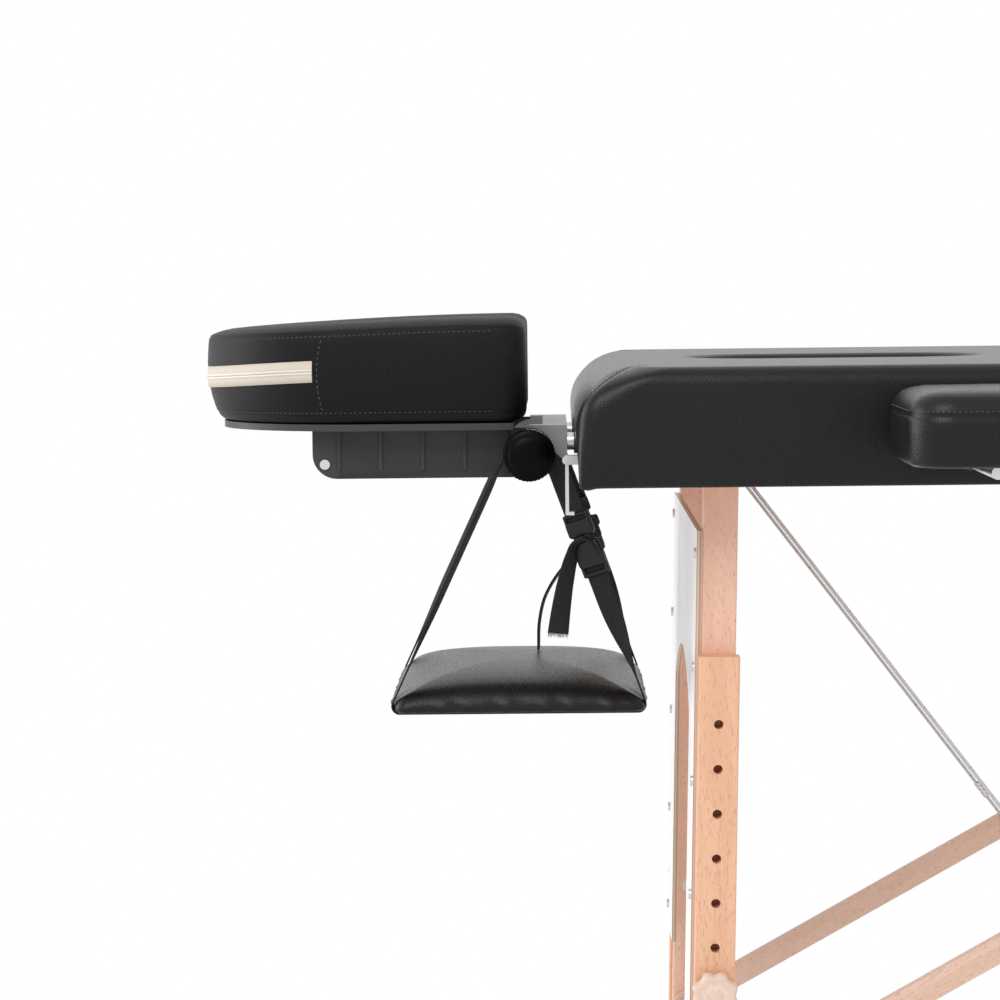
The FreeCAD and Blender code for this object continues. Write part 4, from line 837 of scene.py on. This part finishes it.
def make_straps():
    """The two webbing loops, their right runs turned to the side, with loose tails below the buckles."""
    right, left, under = tangent_loop(SLING_ROUNDS)
    path = np.concatenate([*right, *left, *under])
    t = np.linspace(0, 1, len(right[0]))
    u = np.linspace(0, 1, len(left[0]))
    right_turn = RUN_TURN * smooth(t, 0.06, 0.4) * (1 - smooth(t, 0.9, 1))
    left_turn = np.radians(12) * smooth(u, 0.0, 0.2) * (1 - smooth(u, 0.6, 0.95))
    turn = np.concatenate([right_turn, np.zeros(len(right[1])), left_turn,
                           np.zeros(len(left[1]) + len(under[0]) + len(under[1]))])
    parts = [band(path, turn * way, -way * STRAP_Y, True) for way in (1, -1)]
    near = curve_through([(-738, 551), (-742.4, 557.3), (-748.5, 562.2), (-754.8, 560.1), (-759.3, 550.3),
                          (-764.9, 528.9), (-769.6, 502), (-772.4, 481)], 2.0)
    far = curve_through([(-738, 548), (-748, 536), (-762, 523), (-775, 508), (-784.3, 492), (-789.5, 471),
                         (-790.5, 447.2)], 2.0)
    near_turn = np.linspace(math.radians(20), TAIL_TURN, len(near))
    far_turn = np.radians(np.linspace(12, 4, len(far)))
    parts.append(band(near, near_turn, -STRAP_Y, False))
    parts.append(band(far, far_turn, np.linspace(STRAP_Y, 36, len(far)), False))
    straps = new_piece("sling_webbing", *gather(parts), "arm_sling", WEB, "webbing")
    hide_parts("sling_straps")
    new_piece("sling_fray", *gather(frayed(near, -STRAP_Y, TAIL_TURN)), "arm_sling", WEB, "webbing")


def frayed(path, y, lean):
    """Loose threads along the cut end of a tail whose band is turned by the lean given."""
    way = normalised((path[-1] - path[-4])[None])[0]
    along = np.array([way[0], 0, way[1]])
    across = np.array([-way[1] * math.sin(lean), math.cos(lean), way[0] * math.sin(lean)])
    end = np.array([path[-1][0], y, path[-1][1]])
    threads = []
    for k in range(34):
        root = end + across * (-9.6 + 19.2 * k / 33)
        spread = np.array([0, rng.uniform(-0.25, 0.25), 0])
        tip = root + (along + spread) * rng.uniform(1.2, 4.2) + rng.uniform(-0.5, 0.5, 3)
        middle = (root + tip) / 2 + rng.uniform(-0.2, 0.2, 3)
        threads.append(swept(np.stack([root - along * 1.5, root, middle, tip]), ring_profile(0.22, 5)))
    return threads


def make_buckles():
    """The side-release buckles on the turned runs: body, insert, side lugs, tongue and webbing bars.

    Each is a round-cornered plate: low and high across, low and high along, corner, half thickness.
    """
    plates = [(-12.8, 12.8, -19, 5, 4.0, 4.6), (-12.4, 12.4, 10, 25, 3.0, 3.6),
              (-16.2, -10.5, -7, 4, 2.6, 2.7), (10.5, 16.2, -7, 4, 2.6, 2.7),
              (-7.5, 7.5, 2, 12, 1.5, 2.6), (-12.8, 12.8, -27.5, -23.2, 2.0, 2.9),
              (-12.8, -9.6, -26, -17, 1.4, 2.9), (9.6, 12.8, -26, -17, 1.4, 2.9),
              (-12.4, 12.4, 28.2, 31.6, 1.6, 2.6), (-12.4, -9.4, 22, 31, 1.4, 2.6),
              (9.4, 12.4, 22, 31, 1.4, 2.6)]
    run = tangent_loop(SLING_ROUNDS)[0][0]
    x, z = run[np.argmin(np.abs(run[:, 1] - BUCKLE_Z))]
    way = normalised(run[-1:] - run[:1])[0]
    along = np.array([way[0], 0, way[1]])
    side = np.cross(along, Y_AXIS)
    parts = []
    for sign in (1, -1):
        place = np.array([x, -sign * STRAP_Y, z])
        across = Y_AXIS * math.cos(RUN_TURN) + side * math.sin(RUN_TURN) * sign
        face = np.cross(along, across)
        for low, high, start, end, corner, half in plates:
            points, normals = rounded_outline(low, high, start, end, corner, 60)
            upper = [(0, half - 1.4), (0.4, half - 0.4), (1.4, half)]
            lower = [(inset, -level) for inset, level in upper[::-1]]
            grid = np.stack([ring(points, normals, *rim) for rim in lower + upper])
            a, b, c = np.split(grid, 3, axis=-1)
            parts.append(closed_grid(place + a * across + b * along + c * face))
    buckle = worn("black buckle", (0.010, 0.010, 0.011), 0.3, fine=900.0, depth=0.00005, specular=0.3,
                  edge=(0.05, 0.05, 0.052))
    buckles = new_piece("sling_release_buckles", *gather(parts), "arm_sling", buckle, "black_plastic")
    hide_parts("sling_buckles")


WIRE = worn("steel wire", (0.58, 0.57, 0.58), 0.34, 1.0, fine=1600.0)
SLEEVE = worn("crimped sleeve", (0.62, 0.61, 0.62), 0.3, 1.0, fine=900.0)
BEIGE = worn("beige plastic", (0.77, 0.58, 0.47), 0.42, fine=800.0, depth=0.0001, edge=(0.86, 0.70, 0.60))
BLACK_GLOSS = worn("black knob plastic", (0.002, 0.002, 0.002), 0.3, fine=1100.0, depth=0.00003,
                   specular=0.06)
STUD_IN = 223.0


def tube(start, way, radii, at):
    """A round piece along a straight line, its radius given at distances from the start."""
    path = start + way * np.asarray(at, float)[:, None]
    side, normal = side_vectors(path, Y_AXIS)
    radii = np.asarray(radii, float)[:, None]
    return closed_grid(carried(path, ring_profile(1.0, 14), side * radii, normal * radii))


CABLE_EYE = np.array([131.5, 0.0, 86.0])
CABLE_PIN = np.array([433.0, 0.0, 482.3])
CABLE_CUTS = (0.0, 0.08, 0.35, 0.7, 0.88, 1.0)
CABLE_Y = 193.7
STRAND_STEP = 2.4
STRAND_PITCH = 26.0


def cable_point(point, y, mirrored):
    """A point given from a section's outer end and the table's top, at Y; the foot section is mirrored."""
    x = X_HEAD + point[0]
    return np.array([2 * X_MID - x if mirrored else x, y, TOP - point[2]])


def lay_cable(start, stop, spans):
    """One cable from eye to pin: lists, by its lengths, of strands and loops, and of crimped sleeves."""
    crimps = [0, 0.6, 1.4, 3.2, 4.0, 4.8, 6.6, 8.2, 9.0, 9.8, 11.6, 13.2, 14.0, 14.8, 16.6, 17.4, 18.0]
    radii = [2.2, 2.9, 3.0, 3.0, 2.5, 3.0, 3.0, 3.0, 2.5, 3.0, 3.0, 3.0, 2.5, 3.0, 3.0, 2.9, 2.2]
    bush = [(0.4, -2.0), (2.2, -2.0), (2.5, -1.7), (2.5, 1.7), (2.2, 2.0), (0.4, 2.0)]
    length = np.linalg.norm(stop - start)
    way = (stop - start) / length
    across = np.cross(way, Y_AXIS)
    wires, sleeves = [[] for _ in spans], [[] for _ in spans]
    for strands, (first, last) in zip(wires, spans):
        begin = first * length - (STRAND_STEP if first else 0)
        s = np.arange(begin, last * length, STRAND_STEP)[:, None]
        for strand in range(6):
            angle = s / STRAND_PITCH * 2 * np.pi + strand * np.pi / 3
            path = start + way * s + 1.1 * (np.cos(angle) * across + np.sin(angle) * Y_AXIS)
            strands.append(swept(path, ring_profile(0.62, 6), across))
    sweep = np.linspace(0.5, 2 * np.pi - 0.5, 26)[:, None]
    for strands, middle, turn in ((wires[-1], stop, math.pi), (wires[0], start, 0.0)):
        loop = middle + 3.6 * (np.cos(sweep + turn) * way + np.sin(sweep + turn) * across)
        strands.append(swept(loop, ring_profile(1.1, 8)))
    sleeves[0].append(tube(start + way * 8, way, radii, crimps))
    sleeves[-1].append(tube(start + way * (length - 52), way, radii, crimps))
    sleeves[-1].append(turned(bush, 20, stop))
    return wires, sleeves


def make_cables():
    """Two brace cables to a section, cut into lengths.
    """
    spans = list(zip(CABLE_CUTS, CABLE_CUTS[1:]))
    for end, mirrored in (("head", False), ("foot", True)):
        pair = []
        for y in (-CABLE_Y, CABLE_Y):
            eye, pin = (cable_point(point, y, mirrored) for point in (CABLE_EYE, CABLE_PIN))
            pair.append(lay_cable(eye, pin, spans))
        for n, span in enumerate(spans):
            for kind, (name, metal) in enumerate((("wires", WIRE), ("sleeves", SLEEVE))):
                parts = [part for cable in pair for part in cable[kind][n]]
                if parts:
                    piece = new_piece(f"{end}_cable_{name}_{n + 1}", *gather(parts), None, metal, "cable")
                    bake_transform(piece)
                    if n == 0 and name == "wires":
                        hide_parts(end + "_cables")


def box_of(name):
    """The low and high corners of a carried-over part, in millimetres."""
    return [np.array(v) * 1000 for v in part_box(name)]


def make_star_knobs():
    """Scalloped hand knobs in the CAD knobs' places: eight round lobes, a sunk face and a raised hub."""
    for end in ("head", "foot"):
        for side, sign in (("near", -1), ("far", 1)):
            name = f"{side}_{end}_leg_knob"
            low, high = box_of(name)
            face = high[1] if sign > 0 else low[1]
            radius = (high[2] - low[2]) / 2
            axis = ((low[0] + high[0]) / 2, 0, (low[2] + high[2]) / 2)
            hub = [(0.3, 0.0), (5.0, 0.0), (6.4, 0.5), (7.2, 1.6), (9.5, 2.2), (13.0, 1.7)]
            rim = [(radius - 4.6, 0.6), (radius - 2.2, 1.1), (radius - 0.7, 2.6), (radius, 5.0),
                   (radius, 11.0), (radius - 0.8, 13.8), (radius - 3.0, 15.2)]
            back = [(11.0, 15.8), (8.4, 16.2), (8.0, 16.9), (0.3, 16.9)]
            grip = turned([(r, face - sign * h) for r, h in hub + rim + back], 160, axis, 0.13, 8)
            knob = new_piece(name + "_grip", *grip, name, BEIGE, "beige_plastic")
            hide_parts(name)
            inner, outer = sign * STUD_IN, face - sign * 16.0
            stud = [(0.3, inner), (3.4, inner), (4.0, inner + sign * 0.8), (4.0, outer), (0.3, outer)]
            new_piece(name + "_stud", *turned(stud, 28, axis), name, SLEEVE, "steel")


def make_clamp_knob():
    """The headrest's round clamp knob: a domed face with a shallow step, and fine ribs round its rim."""
    low, high = box_of("clamp_knob")
    radius = (high[2] - low[2]) / 2
    axis = ((low[0] + high[0]) / 2, 0, (low[2] + high[2]) / 2)
    deep = high[1] - low[1]
    domed = [(0.3, 0.0), (4, 0.05), (8, 0.3), (12, 0.9), (15, 1.8), (17.4, 3.0), (18.2, 3.9), (18.6, 4.6),
             (19.6, 4.9), (radius - 1.6, 5.3), (radius - 0.6, 6.2), (radius, 7.8)]
    rim = [(radius, 10.0), (radius, deep - 4.0), (radius - 0.5, deep - 2.0), (radius - 1.8, deep - 0.4),
           (radius - 3.0, deep), (9.0, deep), (0.3, deep)]
    grip = turned([(r, low[1] + h) for r, h in domed + rim], 160, axis, 0.02, 40)
    knob = new_piece("clamp_knob_grip", *grip, "clamp_knob", BLACK_GLOSS, "black_plastic")
    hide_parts("clamp_knob")


# Finishes of the carried-over parts

BEECH = (0.72, 0.47, 0.33)
LENGTHWISE = (0.0, 0.0, 0.0)
ACROSS = (0.0, 0.0, math.radians(-90))
UPRIGHT = (0.0, math.radians(90), 0.0)


PANEL_LEAN = math.radians(1.25)
PANEL_FACE = X_MID - X_HEAD - 125 + 15
PLY = 1.7


def plywood(name):
    """The leg panel: a pale sealed face painted nearly white as a painted reflection of the white
    surround, and edges that show its three plies across the thickness.
    """
    material, tree, shader = finish(name, (0.80, 0.77, 0.79), 0.32)
    place = axes_of(tree, object_coords(tree))
    from_middle = math_node(tree, "ABSOLUTE", math_node(tree, "SUBTRACT", place["X"], X_MID / 1000))
    above_pivot = math_node(tree, "SUBTRACT", place["Z"], (TOP - 82) / 1000)
    lean = math_node(tree, "MULTIPLY", above_pivot, -math.tan(PANEL_LEAN))
    depth = math_node(tree, "SUBTRACT", math_node(tree, "SUBTRACT", from_middle, lean), PANEL_FACE / 1000)
    ply = math_node(tree, "PINGPONG", math_node(tree, "MULTIPLY", depth, 1000 / PLY), 1.0)
    facing = axes_of(tree, tree.nodes.new("ShaderNodeNewGeometry").outputs["Normal"])
    flat = remap(tree, math_node(tree, "ABSOLUTE", facing["X"]), 0.6, 0.8)
    wood = wood_grain(tree, UPRIGHT)
    layers = mix(tree, remap(tree, ply, 0.35, 0.65), (0.70, 0.52, 0.40), (0.46, 0.30, 0.21))
    rings = math_node(tree, "MULTIPLY", wood["Ring"], 0.35)
    # Painted reflection: the face colours are raised nearly to white, standing in for the white surround
    # the pale face reflects at a grazing angle.
    face = mix(tree, rings, (0.97, 0.95, 0.97), (0.91, 0.88, 0.90))
    sealed = remap(tree, wood["Tone"], 0.2, 0.8, 0.26, 0.4)
    coat(tree, shader, mix(tree, flat, layers, face), sealed, wood["Pore"], 0.00006, 0.4)
    return material


def dress(material, width, *names):
    """Give carried-over parts a finish, and edges rounded over by a width in millimetres."""
    for name in names:
        obj = nodes[name]
        obj.data.materials.clear()
        obj.data.materials.append(material)
        bevel = obj.modifiers.new("eased", "BEVEL")
        bevel.width = width / 1000
        bevel.segments = 2
        bevel.limit_method = "ANGLE"
        bevel.angle_limit = math.radians(35)


def dress_parts():
    """Finishes of all carried-over parts: wood with the grain along it, steel, castings and mouldings."""
    steel = worn("nickel steel", (0.52, 0.49, 0.50), 0.3, 1.0, fine=1200.0, edge=(0.66, 0.64, 0.65))
    casting = worn("grey casting", (0.20, 0.20, 0.21), 0.42, 0.4, fine=600.0, depth=0.00018,
                   edge=(0.34, 0.34, 0.35))
    moulding = worn("black moulding", (0.017, 0.0165, 0.019), 0.46, fine=900.0, depth=0.00012,
                    specular=0.22, edge=(0.05, 0.05, 0.055))
    rubber = worn("black rubber", (0.025, 0.025, 0.025), 0.85, fine=500.0, depth=0.0003)
    dress(timber("beech rails", BEECH, LENGTHWISE), 1.5, "head_side_rails", "foot_side_rails")
    dress(timber("beech cross rails", BEECH, ACROSS), 1.5, "head_cross_rails", "foot_cross_rails")
    upright = timber("beech posts", (0.87, 0.54, 0.405), UPRIGHT, shift=(0.31, 0.12, 0.0))
    dress(upright, 1.6, "head_posts", "foot_posts")
    for n, name in enumerate(("near_head", "far_head", "near_foot", "far_foot")):
        legs = timber(name + " beech", (0.81, 0.475, 0.305), UPRIGHT, shift=(0.4 * n, 0.07 * n, 0.03))
        dress(legs, 2.2, name + "_extension")
        dress(rubber, 1.2, name + "_foot")
    braces = (("lower", (0.76, 0.52, 0.41), 29.4), ("upper", (0.74, 0.50, 0.39), 41.8))
    for end, way in (("head", 1), ("foot", -1)):
        for level, colour, slope in braces:
            slats = timber(f"{end} {level} brace beech", colour, (0, math.radians(slope * way), 0))
            dress(slats, 2.0, f"{end}_{level}_slats")
    dress(plywood("panel plywood"), 0.8, "head_panel", "foot_panel")
    dress(timber("deck plywood", (0.66, 0.48, 0.34), LENGTHWISE, 0.55), 0.5, "head_deck", "foot_deck")
    dress(steel, 0.6, "head_leg_bolts", "foot_leg_bolts", "head_elbow_bolts", "foot_elbow_bolts",
          "head_fittings", "foot_fittings", "head_hinge_leaves", "foot_hinge_leaves", "hinge_pins",
          "far_latch_hook", "near_latch_hook", "bracket_rivets", "headrest_rods", "near_armrest_frame",
          "far_armrest_frame")
    dress(casting, 1.6, "headrest_base")
    dress(moulding, 1.2, "tilt_bracket", "platform")
    dress(moulding, 0.8, "headrest_pivot", "rail_bushes")


# Stage, light and camera


def make_stage():
    """A pale floor that keeps the table's shadow and turns white further out, and a white surround."""
    scene = bpy.context.scene
    size = 9.0
    mesh = bpy.data.meshes.new("floor")
    corners = [(-size, -size, 0), (size, -size, 0), (size, size, 0), (-size, size, 0)]
    mesh.from_pydata(corners, [], [(0, 1, 2, 3)])
    floor = bpy.data.objects.new("floor", mesh)
    scene.collection.objects.link(floor)
    material, tree, shader = finish("pale floor", (0.86, 0.86, 0.86), 0.9, 0.0, 0.1)
    place = axes_of(tree, object_coords(tree))
    along = math_node(tree, "POWER", math_node(tree, "DIVIDE", place["X"], 1.35), 2.0)
    side = math_node(tree, "POWER", math_node(tree, "DIVIDE", place["Y"], 0.5), 2.0)
    away = remap(tree, math_node(tree, "SQRT", math_node(tree, "ADD", along, side)), 0.35, 0.85)
    glow = tree.nodes.new("ShaderNodeEmission")
    glow.inputs["Color"].default_value = (1, 1, 1, 1)
    both = tree.nodes.new("ShaderNodeMixShader")
    tree.links.new(away, both.inputs[0])
    tree.links.new(shader.outputs[0], both.inputs[1])
    tree.links.new(glow.outputs[0], both.inputs[2])
    tree.links.new(both.outputs[0], tree.nodes["Material Output"].inputs["Surface"])
    mesh.materials.append(material)
    world = bpy.data.worlds.new("surround")
    scene.world = world
    world.use_nodes = True
    tree = world.node_tree
    sky = tree.nodes["Background"]
    rays = tree.nodes.new("ShaderNodeLightPath").outputs
    seen = math_node(tree, "MAXIMUM", rays["Is Camera Ray"], rays["Is Glossy Ray"])
    seen = math_node(tree, "MAXIMUM", seen, rays["Is Transmission Ray"])
    sky.inputs["Color"].default_value = (1, 1, 1, 1)
    tree.links.new(remap(tree, seen, 0.0, 1.0, 0.56, 1.0), sky.inputs["Strength"])


def lamp(name, place, aim, size, power):
    """A soft square lamp pointed at a place."""
    data = bpy.data.lights.new(name, "AREA")
    data.shape = "SQUARE"
    data.size = size
    data.energy = power
    obj = bpy.data.objects.new(name, data)
    obj.location = place
    obj.rotation_euler = (Vector(aim) - Vector(place)).to_track_quat("-Z", "Y").to_euler()
    bpy.context.scene.collection.objects.link(obj)


def make_camera():
    """The photograph's view: from the near side at the head end, a little above the top."""
    data = bpy.data.cameras.new("camera")
    data.lens = 108.53
    data.sensor_width = 36.0
    camera = bpy.data.objects.new("camera", data)
    turn = Matrix.Identity(4)
    for degrees, axis in ((0.919, "Z"), (90 - 4.257, "X"), (-0.645, "Z")):
        turn = turn @ Matrix.Rotation(math.radians(degrees), 4, axis)
    camera.matrix_world = Matrix.Translation((-0.78, -2.8, 0.80)) @ turn
    bpy.context.scene.collection.objects.link(camera)
    bpy.context.scene.camera = camera


make_top()
make_face_cushion()
make_arm_pads()
make_sling_pad()
make_straps()
make_buckles()
make_cables()
make_star_knobs()
make_clamp_knob()
dress_parts()
make_stage()
lamp("key", (-1.6, -2.2, 2.6), (-0.5, 0.0, 0.6), 1.6, 40)
lamp("fill", (1.8, -2.4, 1.6), (-0.3, 0.0, 0.5), 1.8, 15)
lamp("head_light", (-2.8, 0.3, 1.0), (-0.7, 0.0, 0.4), 1.4, 19)
make_camera()
bpy.context.scene.view_settings.view_transform = "Standard"
